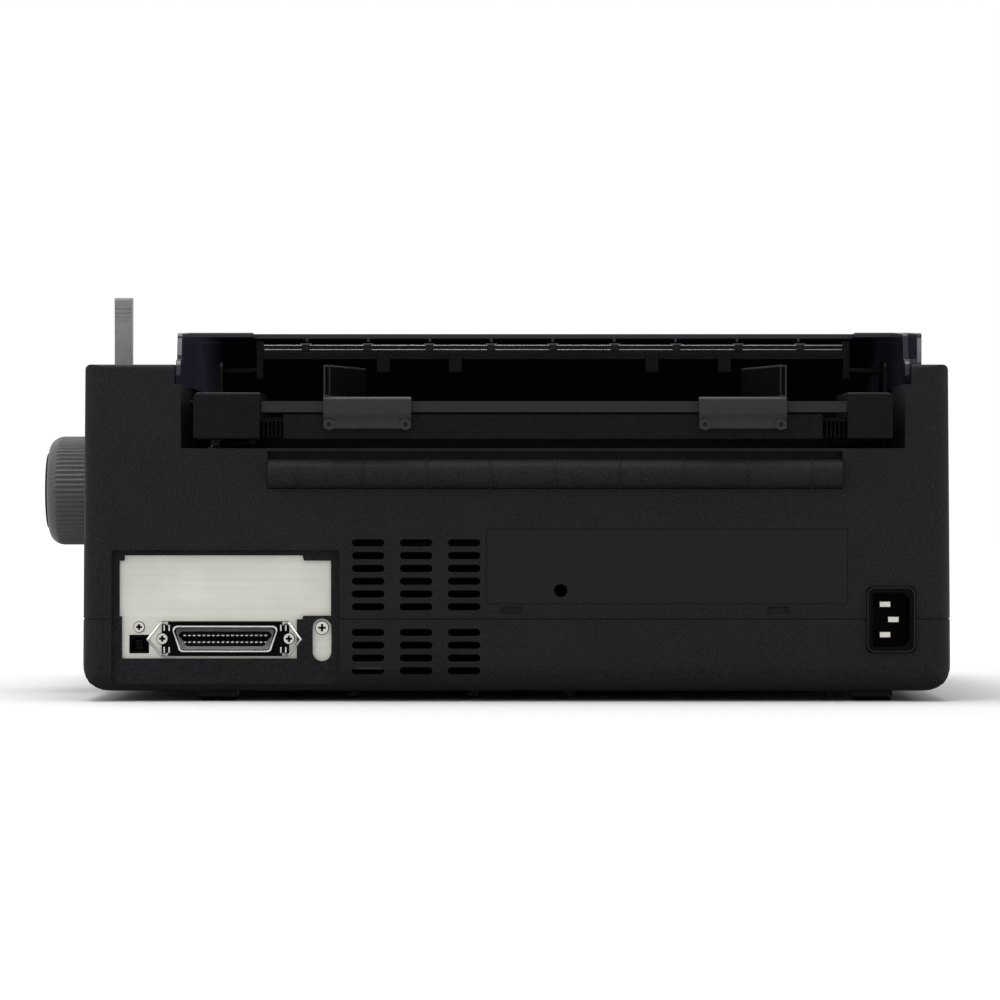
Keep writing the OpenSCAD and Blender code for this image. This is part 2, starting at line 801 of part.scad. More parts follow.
module feet() {
    color(rubber) in_frame() for (x = foot_x, y = foot_y)
        box([x - foot_w / 2, y - foot_w / 2, 0], [x + foot_w / 2, y + foot_w / 2, foot_h]);
}

module interface_plate() {
    color(plate_steel) in_frame() difference() {
        box([recess_x0 + 1, plate_y - plate_t, recess_z0 + 7],
            [recess_x1 - 1, plate_y, recess_z0 + recess_h - 1]);
        for (hole = [[connector_x, connector_z, connector_reach, connector_rise],
                     [usb_x, usb_z, usb_reach, usb_rise]])
            box([hole[0] - hole[2] - seat_gap, plate_y - 5, hole[1] - hole[3] - seat_gap],
                [hole[0] + hole[2] + seat_gap, plate_y + over, hole[1] + hole[3] + seat_gap]);
        for (s = screw_places)
            rod_y(plate_y - 5, plate_y + over, s[0], s[1], screw_r + run_gap);
    }
}

// Outline of the ribbon connector's D-shaped shell, smaller by an inset
module d_outline(inset) {
    top = shell_top_w / 2 - inset;
    foot = shell_foot_w / 2 - inset;
    rise = shell_h / 2 - inset;
    polygon(rounded([[-top, rise, 1.5], [top, rise, 1.5], [foot, -rise, 1.5], [-foot, -rise, 1.5]]));
}

module ribbon_connector() {
    back_y = plate_y - plate_t;
    color(ink_black) in_frame() translate([connector_x, 0, connector_z]) difference() {
        union() {
            box([-26, rear_y - 24, board_z + board_t + seat_gap - connector_z],
                [26, back_y - seat_gap, connector_rise]);
            difference() {
                box([-connector_reach, back_y - 2, -connector_rise],
                    [connector_reach, recess_floor_y - 0.6, connector_rise]);
                for (side = [-1, 1])
                    rod_y(plate_y - 5, rear_y, side * (connector_reach + 0.1), 0, 2.8);
            }
            along_y(recess_floor_y - 3, recess_floor_y + 2) d_outline(0);
            for (x = [-post_x, post_x], z = [-post_z, post_z])
                box([x - post_w / 2, recess_floor_y - 2, z - post_h / 2],
                    [x + post_w / 2, bail_y + 1.4, z + post_h / 2]);
        }
        along_y(recess_floor_y + 0.2, rear_y) d_outline(1);
        difference() {
            box([-tongue_w / 2, recess_floor_y - 8, -1.8], [tongue_w / 2, rear_y, 1.8]);
            for (i = [0 : contact_count - 1], z = [-1.9, 1.9])
                translate([(i - (contact_count - 1) / 2) * contact_pitch, 0, z])
                    box([-contact_w / 2, recess_floor_y - 9, -0.6], [contact_w / 2, recess_floor_y, 0.6]);
        }
        for (x = [-post_x, post_x])
            rod_z(-10, 10, x, bail_y, bail_wire_r + run_gap);
    }
}

module wire(from, to) {
    d = to - from;
    translate(from) rotate([0, acos(d[2] / norm(d)), atan2(d[1], d[0])])
        cylinder(h = norm(d), r = bail_wire_r);
}

// A wire clip that snaps over the plug, pivoting in two posts
module bail(side) {
    pivot = connector_x + side * post_x;
    apex = [pivot + side * bail_reach, bail_y + bail_reach, connector_z];
    for (s = [-1, 1]) {
        heel = [pivot, bail_y, connector_z + s * (post_z + post_h / 2 + seat_gap + bail_wire_r)];
        elbow = heel + [side * bail_elbow[0], bail_elbow[1], -s * bail_elbow[2]];
        wire([pivot, bail_y, connector_z + s * post_z], heel);
        wire(heel, elbow);
        wire(elbow, apex);
        translate(heel) sphere(bail_bend_r);
        translate(elbow) sphere(bail_bend_r);
    }
    translate(apex) sphere(bail_bend_r);
}

module bail_knob_side() {
    color(steel) in_frame() bail(1);
}

module bail_far_side() {
    color(steel) in_frame() bail(-1);
}

module usb_socket() {
    color(ink_black) in_frame() difference() {
        union() {
            box([usb_x - 6, rear_y - 22, board_z + board_t + seat_gap],
                [usb_x + 6, plate_y - plate_t - seat_gap, usb_z + 5.5]);
            along_y(plate_y - 3, plate_y + 0.4) usb_outline(0);
        }
        difference() {
            along_y(plate_y - 9, rear_y) usb_outline(0.7);
            box([usb_x - 1.6, plate_y - 10, usb_z - 1.8], [usb_x + 1.6, plate_y - 0.8, usb_z + 1.4]);
        }
    }
}

module usb_outline(inset) {
    reach = usb_reach - inset;
    rise = usb_rise - inset;
    polygon([
        [usb_x - reach, usb_z - rise], [usb_x + reach, usb_z - rise],
        [usb_x + reach, usb_z + rise - usb_cut], [usb_x + reach - usb_cut, usb_z + rise],
        [usb_x - reach + usb_cut, usb_z + rise], [usb_x - reach, usb_z + rise - usb_cut],
    ]);
}

module interface_screws() {
    color(steel) in_frame() for (s = screw_places) difference() {
        union() {
            rod_y(plate_y, plate_y + screw_head_h, s[0], s[1], s[2]);
            rod_y(plate_y - 5, plate_y + 0.5, s[0], s[1], screw_r);
        }
        for (turn = [0, 90])
            translate([s[0], plate_y + screw_head_h, s[1]]) rotate([0, turn, 0])
                cube([s[2] * 1.2, 1.6, screw_cross_w], center = true);
    }
}

module inlet_outline(w, h, chamfer) {
    polygon(rounded([
        [inlet_x + w / 2, inlet_z + h / 2, 1.5],
        [inlet_x - w / 2 + chamfer, inlet_z + h / 2, 0.4],
        [inlet_x - w / 2, inlet_z + h / 2 - chamfer, 0.4],
        [inlet_x - w / 2, inlet_z - h / 2 + chamfer, 0.4],
        [inlet_x - w / 2 + chamfer, inlet_z - h / 2, 0.4],
        [inlet_x + w / 2, inlet_z - h / 2, 1.5],
    ]));
}

module power_inlet() {
    half = [inlet_w / 2 - inlet_lip - seat_gap, inlet_h / 2 - inlet_lip - seat_gap];
    color(ink_black) in_frame() difference() {
        union() {
            along_y(rear_y, rear_y + 1.4) rounded_box(inlet_x - inlet_w / 2, inlet_x + inlet_w / 2,
                                                      inlet_z - inlet_h / 2, inlet_z + inlet_h / 2, 2.4);
            box([inlet_x - half[0], rear_y - socket_depth - 2, inlet_z - half[1]],
                [inlet_x + half[0], rear_y + 0.5, inlet_z + half[1]]);
        }
        along_y(rear_y - socket_depth, rear_y + 3)
            inlet_outline(inlet_w - inlet_bore, inlet_h - inlet_bore, 3);
    }
}

module inlet_pins() {
    color(steel) in_frame() for (p = pin_places)
        box([inlet_x + p[0] - pin_size[0] / 2, rear_y - socket_depth, inlet_z + p[1] - pin_size[1] / 2],
            [inlet_x + p[0] + pin_size[0] / 2, rear_y - pin_behind, inlet_z + p[1] + pin_size[1] / 2]);
}

// Side outline of the cover's skin between its outer and inner faces
module cover_skin(thick) {
    difference() {
        polygon(rounded([
            [cover_rear_y, cover_top_z, 0.6],
            [cover_rear_y, cover_top_z - thick, 0],
            [cover_front_y + thick + 4, deck_z, 0],
            [cover_front_y, deck_z + seat_gap, 0],
            [cover_front_y + 4, cover_top_z - 33, 6],
            [cover_crest_y, cover_top_z, 14],
        ]));
        polygon(rounded([
            [cover_rear_y + over, cover_top_z - thick, 0],
            [cover_rear_y + over, 90, 0],
            [cover_front_y + thick, 90, 0],
            [cover_front_y + 4 + thick, cover_top_z - 33 - 0.4 * thick, 4],
            [cover_crest_y + 0.3 * thick, cover_top_z - thick, 12],
        ]));
    }
}

// Side outline of the cover's arm, from its round hinge end to the front
module cover_arm() {
    polygon(rounded([
        for (q = arm_foot) [q[0], q[1], 0],
        [cover_pivot_y - 1, rebate_z + seat_gap, 0],
        [cover_pivot_y - 2, cover_pivot_z, 0],
        [cover_arm_y, cover_top_z - 2.2, 3],
        [cover_rear_y, cover_top_z, 20],
        [cover_crest_y, cover_top_z, 14],
        [cover_front_y + 4, cover_top_z - 33, 6],
    ]));
    translate([cover_pivot_y, cover_pivot_z]) circle(cover_end_r);
}

// The far arm's upper half, which stands over the narrow pod
module cover_wide_skirt() {
    intersection() {
        cover_arm();
        polygon([
            [cover_front_y - over, deck_z + 4 * seat_gap], [deck_y, deck_z + 4 * seat_gap],
            [pod_flat_y + 1, pod_top_z + 2 * seat_gap], [cover_arm_y, pod_top_z + 2 * seat_gap],
            [cover_arm_y, cover_top_z + over], [cover_front_y - over, cover_top_z + over],
        ]);
    }
}

module printer_cover() {
    color(smoke) in_frame() {
        difference() {
            union() {
                along_x(cover_wide_x, cover_knob_x) cover_skin(cover_t);
                for (i = [0 : rib_count - 1])
                    box([rib_x(i) - 0.6, cover_crest_y, cover_top_z - cover_t - 1.6],
                        [rib_x(i) + 0.6, cover_rear_y - cover_notch,
                         cover_top_z - cover_t + 0.1]);
            }
            box([path_x - 141, cover_rear_y - cover_notch, pod_top_z],
                [path_x + 140.4, cover_rear_y + over, cover_top_z + over]);
            for (x = [[open_knob_x - seat_gap, cover_knob_x + over],
                      [cover_wide_x - over, open_far_x + seat_gap]])
                along_x(x[0], x[1]) polygon(concat(
                    [[cover_front_y - over, deck_z - 20], [cover_front_y - over, deck_z + seat_gap]],
                    arm_foot, [[arm_meet_y, deck_z - 20]]));
        }
        along_x(cover_knob_x - cover_t, cover_knob_x) cover_arm();
        along_x(cover_far_x, cover_far_x + cover_t) cover_arm();
        along_x(cover_wide_x, cover_wide_x + cover_t) cover_wide_skirt();
        box([cover_wide_x, pod_flat_y + 4, pod_top_z + 2 * seat_gap],
            [cover_far_x + 1, cover_arm_y, pod_top_z + 2 * seat_gap + cover_t]);
        rod_x(cover_knob_x - 1, cover_knob_x + seat_gap + wall, cover_pivot_y, cover_pivot_z, cover_pin_r);
        rod_x(cover_far_x - seat_gap - wall, cover_far_x + 1, cover_pivot_y, cover_pivot_z, cover_pin_r);
    }
}

module front_cover() {
    x1 = front_cover_x0 + front_cover_w;
    hinge_y = front_y + hinge_r;
    hinge_z = front_cover_z0 + hinge_r;
    color(case_black) in_frame() difference() {
        union() {
            box([front_cover_x0, front_y, hinge_z],
                [x1, front_y + front_cover_t, front_cover_z0 + front_cover_h]);
            rod_x(front_cover_x0, x1, hinge_y, hinge_z, hinge_r);
            rod_x(front_cover_x0 - hinge_pin_len, x1 + hinge_pin_len, hinge_y, hinge_z, hinge_pin_r);
        }
        translate([front_cover_x0 + front_cover_w / 2, front_y, front_cover_z0 + front_cover_h])
            cube([30, 2.8, 14], center = true);
    }
}

// One end block of the sheet guide, rounded on top at its outer side
module guide_block(inner_x, outer_x) {
    intersection() {
        along_x(min(inner_x, outer_x), max(inner_x, outer_x)) polygon(rounded([
            [guide_rear_y, guide_bottom_z + 0.4, 1],
            [guide_rear_y, guide_top_z, 1.5],
            [guide_front_y, guide_top_z, 3],
            [guide_front_y, guide_bottom_z + 8, 3],
            [guide_front_y + 12, guide_bottom_z + 0.4, 3],
        ]));
        along_y(guide_front_y - over, guide_rear_y + over) polygon(rounded([
            [inner_x, guide_bottom_z, 0],
            [outer_x, guide_bottom_z, 0],
            [outer_x, guide_top_z, 2.3],
            [inner_x, guide_top_z, 0.4],
        ]));
    }
}

module sheet_guide() {
    flange_x1 = rail_x1 - 10.6;
    flange_x0 = rail_x0 + 11.3;
    color(case_black) in_frame() {
        guide_block(rail_x1, guide_knob_x);
        guide_block(rail_x0, guide_far_x);
        box([rail_x0 - 1, rail_y0, rail_z0], [rail_x1 + 1, rail_y1, rail_z1]);
        box([rail_x0 - 1, guide_front_y + 2, sheet_z - 1.8], [rail_x1 + 1, rail_y0, sheet_z + 0.2]);
        box([flange_x0, rail_y1 - 2, guide_bottom_z + 0.4], [flange_x1, rail_y1, sheet_z + 1.3]);
        box([flange_x0, rail_y0 - 2, sheet_z - 1.8], [flange_x1, rail_y1, sheet_z + 1.3]);
        for (i = [0 : 4]) {
            box([rail_x1 - 9.4 + 1.9 * i, rail_y0 - 8, guide_bottom_z + 1],
                [rail_x1 - 8.6 + 1.9 * i, rail_y0, sheet_z]);
            box([rail_x0 + 8.6 - 1.9 * i, rail_y0 - 8, guide_bottom_z + 1],
                [rail_x0 + 9.4 - 1.9 * i, rail_y0, sheet_z]);
        }
        for (x = [path_x + 90, path_x - 94])
            box([x - 0.5, rail_y1 - 0.2, guide_bottom_z + 0.4], [x + 0.5, rail_y1 + 0.3, sheet_z - 5]);
        rod_x(guide_knob_x - 1, guide_knob_x + block_gap + 3.5, guide_pivot_y, guide_pivot_z, guide_pin_r);
        rod_x(guide_far_x - block_gap - 3.5, guide_far_x + 1, guide_pivot_y, guide_pivot_z, guide_pin_r);
    }
}

// An edge guide: side is 1 on the knob side and -1 on the far side
module edge_guide(side, inner_x) {
    plate_z = rail_z1 + seat_gap;
    outer_x = inner_x + side * edge_guide_w;
    lug_z = 125.2;
    lug_r = 2.6;
    color(grey) in_frame() difference() {
        union() {
            box([min(inner_x, outer_x), rail_y0 - 4, plate_z],
                [max(inner_x, outer_x), rail_y1 + 2, plate_z + 1.6]);
            along_x(min(inner_x, outer_x), max(inner_x, outer_x)) polygon(rounded([
                [rail_y1 + seat_gap, plate_z + 1.6, 0],
                [rail_y1 + seat_gap, lug_z + 1, 0],
                [rail_y1 + seat_gap + 0.8, lug_z - 2, 0],
                [rail_y1 + 2.3, lug_z - 2, 0.4],
                [rail_y1 + 2.3, lug_z + 2, 0],
                [rail_y1 + 4, lug_z + 5, 2],
                [rail_y1 + 3, plate_z + 1.6, 2],
            ]));
            box([min(inner_x, outer_x), rail_y0 - 4, rail_z0 + 1],
                [max(inner_x, outer_x), rail_y0 - seat_gap, plate_z + 1]);
            for (x = [inner_x + side * lug_r, outer_x - side * lug_r])
                rod_y(rail_y1 + seat_gap, rail_y1 + 3.2, x, lug_z, lug_r);
            translate([0, 0, plate_z]) linear_extrude(fin_top_z - plate_z) polygon([
                [outer_x, rail_y1 + 2], [outer_x - side * 2.4, rail_y1 + 2],
                [outer_x - side * 17.4, rail_y0 - fin_len], [outer_x - side * 15, rail_y0 - fin_len],
            ]);
            translate([0, 0, plate_z]) linear_extrude(1.6) polygon([
                [outer_x, rail_y1 + 2], [outer_x - side * 17.4, rail_y1 + 2],
                [outer_x - side * 21, rail_y0 - fin_len], [outer_x - side * 15, rail_y0 - fin_len],
            ]);
        }
        for (x = [inner_x + side * lug_r, outer_x - side * lug_r])
            rod_y(rail_y1 + 1.4, rail_y1 + 4, x, lug_z, 1);
    }
}

module edge_guide_knob_side() { edge_guide(1, edge_knob_x); }

module edge_guide_far_side() { edge_guide(-1, edge_far_x); }

module tension_frame() {
    color(case_black) in_frame() {
        difference() {
            union() {
                box([tension_x0, tension_y0, tension_z0], [tension_x1, tension_y1, tension_z1]);
                for (x = [tension_x0, tension_x1 - tension_end])
                    box([x, tension_y0 - 2, tension_pin_z - 3.5],
                        [x + tension_end, tension_y1, roller_z + 2.8]);
            }
            rod_x(tension_x0 - over, tension_x1 + over, roller_y, roller_z, roller_rod_r + run_gap);
            for (i = [0 : rib_count - 1])
                rod_x(rib_x(i) - 3, rib_x(i) + 3,
                      roller_y, roller_z, roller_r + 0.5);
        }
        for (x = [62.3, 28.5, -63.7, -97.6])
            box([x - 3, tension_y1 - 1, pod_top_z - 1.3], [x + 3, tension_y1 + 0.8, tension_z1]);
        rod_x(tension_x1 - 1, frame_knob_x + frame_t, tension_pin_y, tension_pin_z, tension_pin_r);
        rod_x(frame_far_x - frame_t, tension_x0 + 1, tension_pin_y, tension_pin_z, tension_pin_r);
    }
}

module tear_off_edge() {
    color(steel) in_frame()
        box([tension_x0 + tension_end + seat_gap, tension_y1 - 2, tension_z1],
            [tension_x1 - tension_end - seat_gap, tension_y1 - 1, tension_z1 + 3.5]);
}

module tension_rollers() {
    color(steel) in_frame() {
        rod_x(tension_x0 + 0.2, tension_x1 - 0.2, roller_y, roller_z, roller_rod_r);
        for (i = [0 : rib_count - 1])
            rod_x(rib_x(i) - 2.5, rib_x(i) + 2.5,
                  roller_y, roller_z, roller_r);
    }
}

module platen() {
    color(rubber) in_frame() difference() {
        rod_x(path_x - platen_len / 2, path_x + platen_len / 2, platen_y, platen_z, platen_r);
        rod_x(path_x - platen_len, path_x + platen_len, platen_y, platen_z, platen_shaft_r + run_gap);
    }
}

module platen_shaft() {
    color(steel) in_frame()
        rod_x(frame_far_x - 3, knob_face_x + 16, platen_y, platen_z, platen_shaft_r);
}

module platen_bushes() {
    flange_t = 2.5;
    color(gear_white) in_frame() difference() {
        union() {
            rod_x(frame_knob_x - flange_t, frame_knob_x + frame_t, platen_y, platen_z, bush_r);
            rod_x(frame_knob_x - flange_t, frame_knob_x, platen_y, platen_z, bush_r + 1.5);
            rod_x(frame_far_x - frame_t, frame_far_x + flange_t, platen_y, platen_z, bush_r);
            rod_x(frame_far_x, frame_far_x + flange_t, platen_y, platen_z, bush_r + 1.5);
        }
        rod_x(frame_far_x - 6, frame_knob_x + 6, platen_y, platen_z, platen_shaft_r + run_gap);
    }
}

module platen_knob() {
    color(grey) in_frame() difference() {
        union() {
            intersection() {
                along_x(knob_face_x, knob_end_x - 1) translate(platen_at)
                    polygon([for (i = [0 : 2 * flute_count - 1], a = 180 * i / flute_count)
                        (knob_r - (i % 2) * flute_depth) * [cos(a), sin(a)]]);
                translate([knob_face_x, platen_y, platen_z]) rotate([0, 90, 0]) rotate_extrude($fn = 96)
                    polygon(rounded([
                        [0, 0, 0], [knob_r, 0, 0.8],
                        [knob_r, knob_end_x - 1 - knob_face_x, 7], [0, knob_end_x - 1 - knob_face_x, 0],
                    ]));
            }
            rod_x(knob_face_x - 12, knob_face_x + 1, platen_y, platen_z, 11);
        }
        rod_x(knob_end_x - knob_rim, knob_end_x + over, platen_y, platen_z, knob_cap_r + seat_gap);
        rod_x(knob_face_x - 20, knob_face_x + 17, platen_y, platen_z, platen_shaft_r + run_gap);
    }
}

module knob_cap() {
    color(case_black) in_frame() translate([knob_end_x - knob_rim, platen_y, platen_z])
        rotate([0, 90, 0]) rotate_extrude() polygon(rounded([
            [0, 0, 0], [knob_cap_r, 0, 0], [knob_cap_r, knob_rim, 1.2], [0, knob_rim, 0],
        ]));
}

module platen_gear() {
    color(gear_white) in_frame() gear(platen_teeth, 0, platen_at, platen_shaft_r + run_gap, 8);
}

module feed_gear_front() {
    color(gear_white) in_frame() gear(feed_teeth, 0.5, feed_front_at, gear_pin_r + run_gap, 5);
}

module feed_gear_rear() {
    color(gear_white) in_frame() gear(feed_teeth, 0, feed_rear_at, gear_pin_r + run_gap, 5);
}

module motor_pinion() {
    color(brass) in_frame() gear(pinion_teeth, 0.5, pinion_at, motor_shaft_r + run_gap, 4);
}

module feed_motor() {
    color(steel) in_frame() {
        rod_x(frame_knob_x - feed_motor_len, frame_knob_x - seat_gap / 3,
              pinion_at[0], pinion_at[1], motor_r);
        rod_x(frame_knob_x - 5, gear_x + gear_w + 1, pinion_at[0], pinion_at[1], motor_shaft_r);
    }
}

module tractor_shaft() {
    color(steel) in_frame() {
        box([frame_far_x + journal_len, tractor_at[0] - tractor_bar / 2, tractor_at[1] - tractor_bar / 2],
            [frame_knob_x - 2, tractor_at[0] + tractor_bar / 2, tractor_at[1] + tractor_bar / 2]);
        rod_x(frame_far_x - 3, frame_far_x + journal_len + 1,
              tractor_at[0], tractor_at[1], tractor_journal_r);
        rod_x(frame_knob_x - 3, gear_x + 1, tractor_at[0], tractor_at[1], tractor_journal_r);
        along_x(gear_x, gear_x + gear_w) translate(tractor_at) gear_outline(tractor_teeth, 0.5);
    }
}

module tractor_rod() {
    color(steel) in_frame()
        rod_x(frame_far_x - 1, frame_knob_x + 1,
              tractor_at[0], tractor_at[1] - tractor_rod_drop, tractor_rod_r);
}

// A pin tractor: side is 1 on the knob side and -1 on the far side
module tractor(side) {
    x = path_x + side * tractor_x;
    y = tractor_at[0];
    z = tractor_at[1];
    w = tractor_w / 2;
    low = z - tractor_rod_drop - 5;
    hinge_x = x + side * w;
    color(ink_black) in_frame() difference() {
        union() {
            for (s = [-1, 1])
                along_x(x + s * (w - tractor_plate / 2) - tractor_plate / 2,
                        x + s * (w - tractor_plate / 2) + tractor_plate / 2)
                    polygon(rounded([
                        [y + tractor_half, z + 8, 3], [y - tractor_half, z + 8, 3],
                        [y - tractor_half, z - 6, 4], [y - tractor_half + 7, low, 4],
                        [y + tractor_half - 7, low, 4], [y + tractor_half, z - 6, 4],
                    ]));
            box([x - w + 1, y - 5, low + 0.5], [x + w - 1, y + 5, low + 9]);
            for (ear = [y - 8, y + 8]) {
                rod_y(ear - 3, ear + 3, hinge_x, z + door_hinge_h, door_ear_r);
                box([min(hinge_x, hinge_x - side * door_ear_r), ear - 3, z + 6],
                    [max(hinge_x, hinge_x - side * door_ear_r), ear + 3, z + door_hinge_h]);
            }
        }
        rod_x(x - w - 1, x + w + 1, y, z, tractor_journal_r + run_gap);
        rod_x(x - w - 1, x + w + 1, y, z - tractor_rod_drop, tractor_rod_r + run_gap);
        rod_y(y - 12, y + 12, hinge_x, z + door_hinge_h, door_pin_r + run_gap);
    }
}

module tractor_knob_side() { tractor(1); }

module tractor_far_side() { tractor(-1); }

// A tractor's door, which holds the paper's edge down on the pins
module tractor_door(side) {
    x = path_x + side * tractor_x;
    hinge_x = x + side * tractor_w / 2;
    y = tractor_at[0];
    hinge_z = tractor_at[1] + door_hinge_h;
    plate_x = hinge_x - side * 2;
    free_x = x - side * (tractor_w / 2 - 1);
    color(ink_black) in_frame() difference() {
        union() {
            rod_y(y - 4.6, y + 4.6, hinge_x, hinge_z, door_ear_r);
            rod_y(y - 11.5, y + 11.5, hinge_x, hinge_z, door_pin_r);
            box([min(hinge_x, free_x), y - 4.6, hinge_z],
                [max(hinge_x, free_x), y + 4.6, hinge_z + door_t]);
            box([min(plate_x, free_x), y - 12, hinge_z + 0.1],
                [max(plate_x, free_x), y + 12, hinge_z + door_t]);
        }
        box([x - 2.4, y - 8, hinge_z - 2], [x + 2.4, y + 8, hinge_z + 3]);
    }
}

module tractor_door_knob_side() { tractor_door(1); }

module tractor_door_far_side() { tractor_door(-1); }

module sprocket(side) {
    x = path_x + side * tractor_x;
    color(gear_white) in_frame() difference() {
        union() {
            rod_x(x - sprocket_w / 2, x + sprocket_w / 2, tractor_at[0], tractor_at[1], sprocket_r);
            for (a = [0 : 45 : 315])
                translate([x, tractor_at[0], tractor_at[1]]) rotate([a, 0, 0])
                    translate([0, 0, sprocket_r - 2]) cylinder(h = 3.6, r = 1.3);
        }
        along_x(x - tractor_w, x + tractor_w) translate(tractor_at)
            square(tractor_bar + 2 * run_gap, center = true);
    }
}

module sprocket_knob_side() { sprocket(1); }

module sprocket_far_side() { sprocket(-1); }

// Outline of the steel plates that carry the printing engine
module frame_outline() {
    difference() {
        polygon(rounded([
            [frame_front_y, frame_foot_z, 4], [frame_rear_y, frame_foot_z, 4],
            [frame_rear_y, frame_rear_z, 8], [frame_ear_y[1], frame_rear_z, 3],
            [frame_ear_y[1], frame_ear_z, 4], [frame_ear_y[0], frame_ear_z, 4],
            [frame_top_y, frame_top_z, 6], [frame_step_y + 20, frame_top_z, 6],
            [frame_step_y, frame_front_z, 6], [frame_front_y, frame_front_z, 6],
        ]));
        translate(platen_at) circle(bush_r);
        translate([carriage_shaft_y, carriage_shaft_z]) circle(carriage_shaft_r + run_gap);
        translate(tractor_at) circle(tractor_journal_r + run_gap);
        translate([tractor_at[0], tractor_at[1] - tractor_rod_drop]) circle(tractor_rod_r + run_gap);
        translate([tension_pin_y, tension_pin_z]) circle(tension_pin_r + run_gap);
        translate(pinion_at) circle(motor_shaft_r + run_gap);
    }
}

module side_frame_knob_side() {
    color(steel) in_frame() {
        along_x(frame_knob_x, frame_knob_x + frame_t) frame_outline();
        for (p = [feed_front_at, feed_rear_at])
            rod_x(frame_knob_x + frame_t / 2, gear_x + gear_w + 1.5, p[0], p[1], gear_pin_r);
        rod_x(gap_lever_x - 3, frame_knob_x + frame_t / 2, gap_lever_y, gap_lever_z, gear_pin_r);
    }
}

module side_frame_far_side() {
    color(steel) in_frame() along_x(frame_far_x - frame_t, frame_far_x) frame_outline();
}

module engine_base() {
    color(steel) in_frame() difference() {
        union() {
            box([frame_far_x, base_y[0], base_z], [frame_knob_x, base_y[1], base_z + base_t]);
            rod_z(base_z + base_t / 2, pulley_z + pulley_h + 1, idler_x, pulley_y, pulley_shaft_r);
        }
        rod_z(base_z - over, base_z + base_t + over, drive_x, pulley_y, motor_hole_r);
    }
}

module carriage_shaft() {
    color(steel) in_frame()
        rod_x(frame_far_x - frame_t - 2, frame_knob_x + frame_t + 1,
              carriage_shaft_y, carriage_shaft_z, carriage_shaft_r);
}

module carriage_rail() {
    color(steel) in_frame() {
        box([frame_far_x, slide_rail_y[0], slide_rail_z],
            [frame_knob_x, slide_rail_y[1], slide_rail_z + slide_rail_t]);
        box([frame_far_x, slide_rail_y[0], slide_rail_z - 10],
            [frame_knob_x, slide_rail_y[0] + slide_rail_t, slide_rail_z + slide_rail_t / 2]);
    }
}

module paper_chute() {
    rim = platen_r + chute_gap;
    color(case_black) in_frame() {
        along_x(frame_far_x + seat_gap, frame_knob_x - seat_gap) difference() {
            union() {
                translate(platen_at) circle(rim + chute_t);
                polygon([
                    [platen_y + rim - 1, platen_z - 4 - chute_t],
                    [platen_y + rim - 1, platen_z - 4 - 2 * chute_t],
                    [platen_y + chute_len, platen_z - 4.2],
                    [platen_y + chute_len, platen_z - 4.2 + chute_t],
                ]);
            }
            translate(platen_at) circle(rim);
            translate([platen_y - 40, platen_z - 5]) square([80, 50]);
            translate([platen_y - 40, platen_z - 50]) square([26, 60]);
        }
    }
}

module carriage() {
    x0 = path_x - carriage_w / 2;
    x1 = path_x + carriage_w / 2;
    belt_y = pulley_y + pulley_r + belt_t / 2;
    color(ink_black) in_frame() difference() {
        union() {
            box([x0, carriage_y[0], carriage_z[0]], [x1, carriage_y[1], carriage_z[1]]);
            box([x0 + 6, carriage_hook_y[0], slide_rail_z - 4],
                [x1 - 6, carriage_y[0] + 1, slide_rail_z - seat_gap]);
            box([x0 + 6, carriage_hook_y[0], slide_rail_z + slide_rail_t + seat_gap],
                [x1 - 6, slide_rail_y[1] + 4, slide_rail_z + 4]);
            box([x0 + 6, carriage_hook_y[1], slide_rail_z - 4],
                [x1 - 6, slide_rail_y[1] + 8, slide_rail_z + 4]);
            for (y = [belt_y - belt_t / 2 - seat_gap - 2, belt_y + belt_t / 2 + seat_gap])
                box([path_x - clamp_w / 2, y, pulley_z - 1],
                    [path_x + clamp_w / 2, y + 2, carriage_z[0] + 0.5]);
        }
        rod_x(x0 - over, x1 + over, carriage_shaft_y, carriage_shaft_z, carriage_shaft_r + run_gap);
    }
}

module print_head() {
    nose_y = platen_y - platen_r - head_nose_gap;
    foot_z = carriage_z[1];
    color(ink_black) in_frame() {
        box([path_x - head_w / 2, head_y[0], foot_z], [path_x + head_w / 2, head_y[1], foot_z + 3]);
        for (k = [0 : head_fin_count - 1])
            box([path_x - head_fin_w / 2, head_y[0] + head_fin_pitch * k, foot_z + 3],
                [path_x + head_fin_w / 2, head_y[0] + head_fin_pitch * k + head_fin_t, head_fin_top]);
        box([path_x - head_w / 2 + 2, head_y[0] + 2, foot_z + 2.5],
            [path_x + head_w / 2 - 2, head_y[1], head_fin_top - 2]);
        along_x(path_x - head_nose_w / 2, path_x + head_nose_w / 2) polygon([
            [head_y[1] - 1, foot_z + 1.5], [nose_y, platen_z - head_nose_h / 2],
            [nose_y, platen_z + head_nose_h / 2], [head_y[1] - 1, head_fin_top - 6],
        ]);
    }
}

module pulley(x, bore_r) {
    difference() {
        union() {
            rod_z(pulley_z, pulley_z + pulley_h, x, pulley_y, pulley_r - 0.05);
            rod_z(pulley_z - 1.2, pulley_z + 0.2, x, pulley_y, pulley_r + pulley_rim);
            rod_z(pulley_z + pulley_h - 0.2, pulley_z + pulley_h + 1, x, pulley_y, pulley_r + pulley_rim);
        }
        if (bore_r > 0)
            rod_z(pulley_z - 5, pulley_z + pulley_h + 5, x, pulley_y, bore_r);
    }
}

module drive_pulley() {
    color(steel) in_frame() {
        pulley(drive_x, 0);
        rod_z(base_z - 8, pulley_z, drive_x, pulley_y, pulley_shaft_r);
    }
}

module idler_pulley() {
    color(gear_white) in_frame() pulley(idler_x, pulley_shaft_r + run_gap);
}

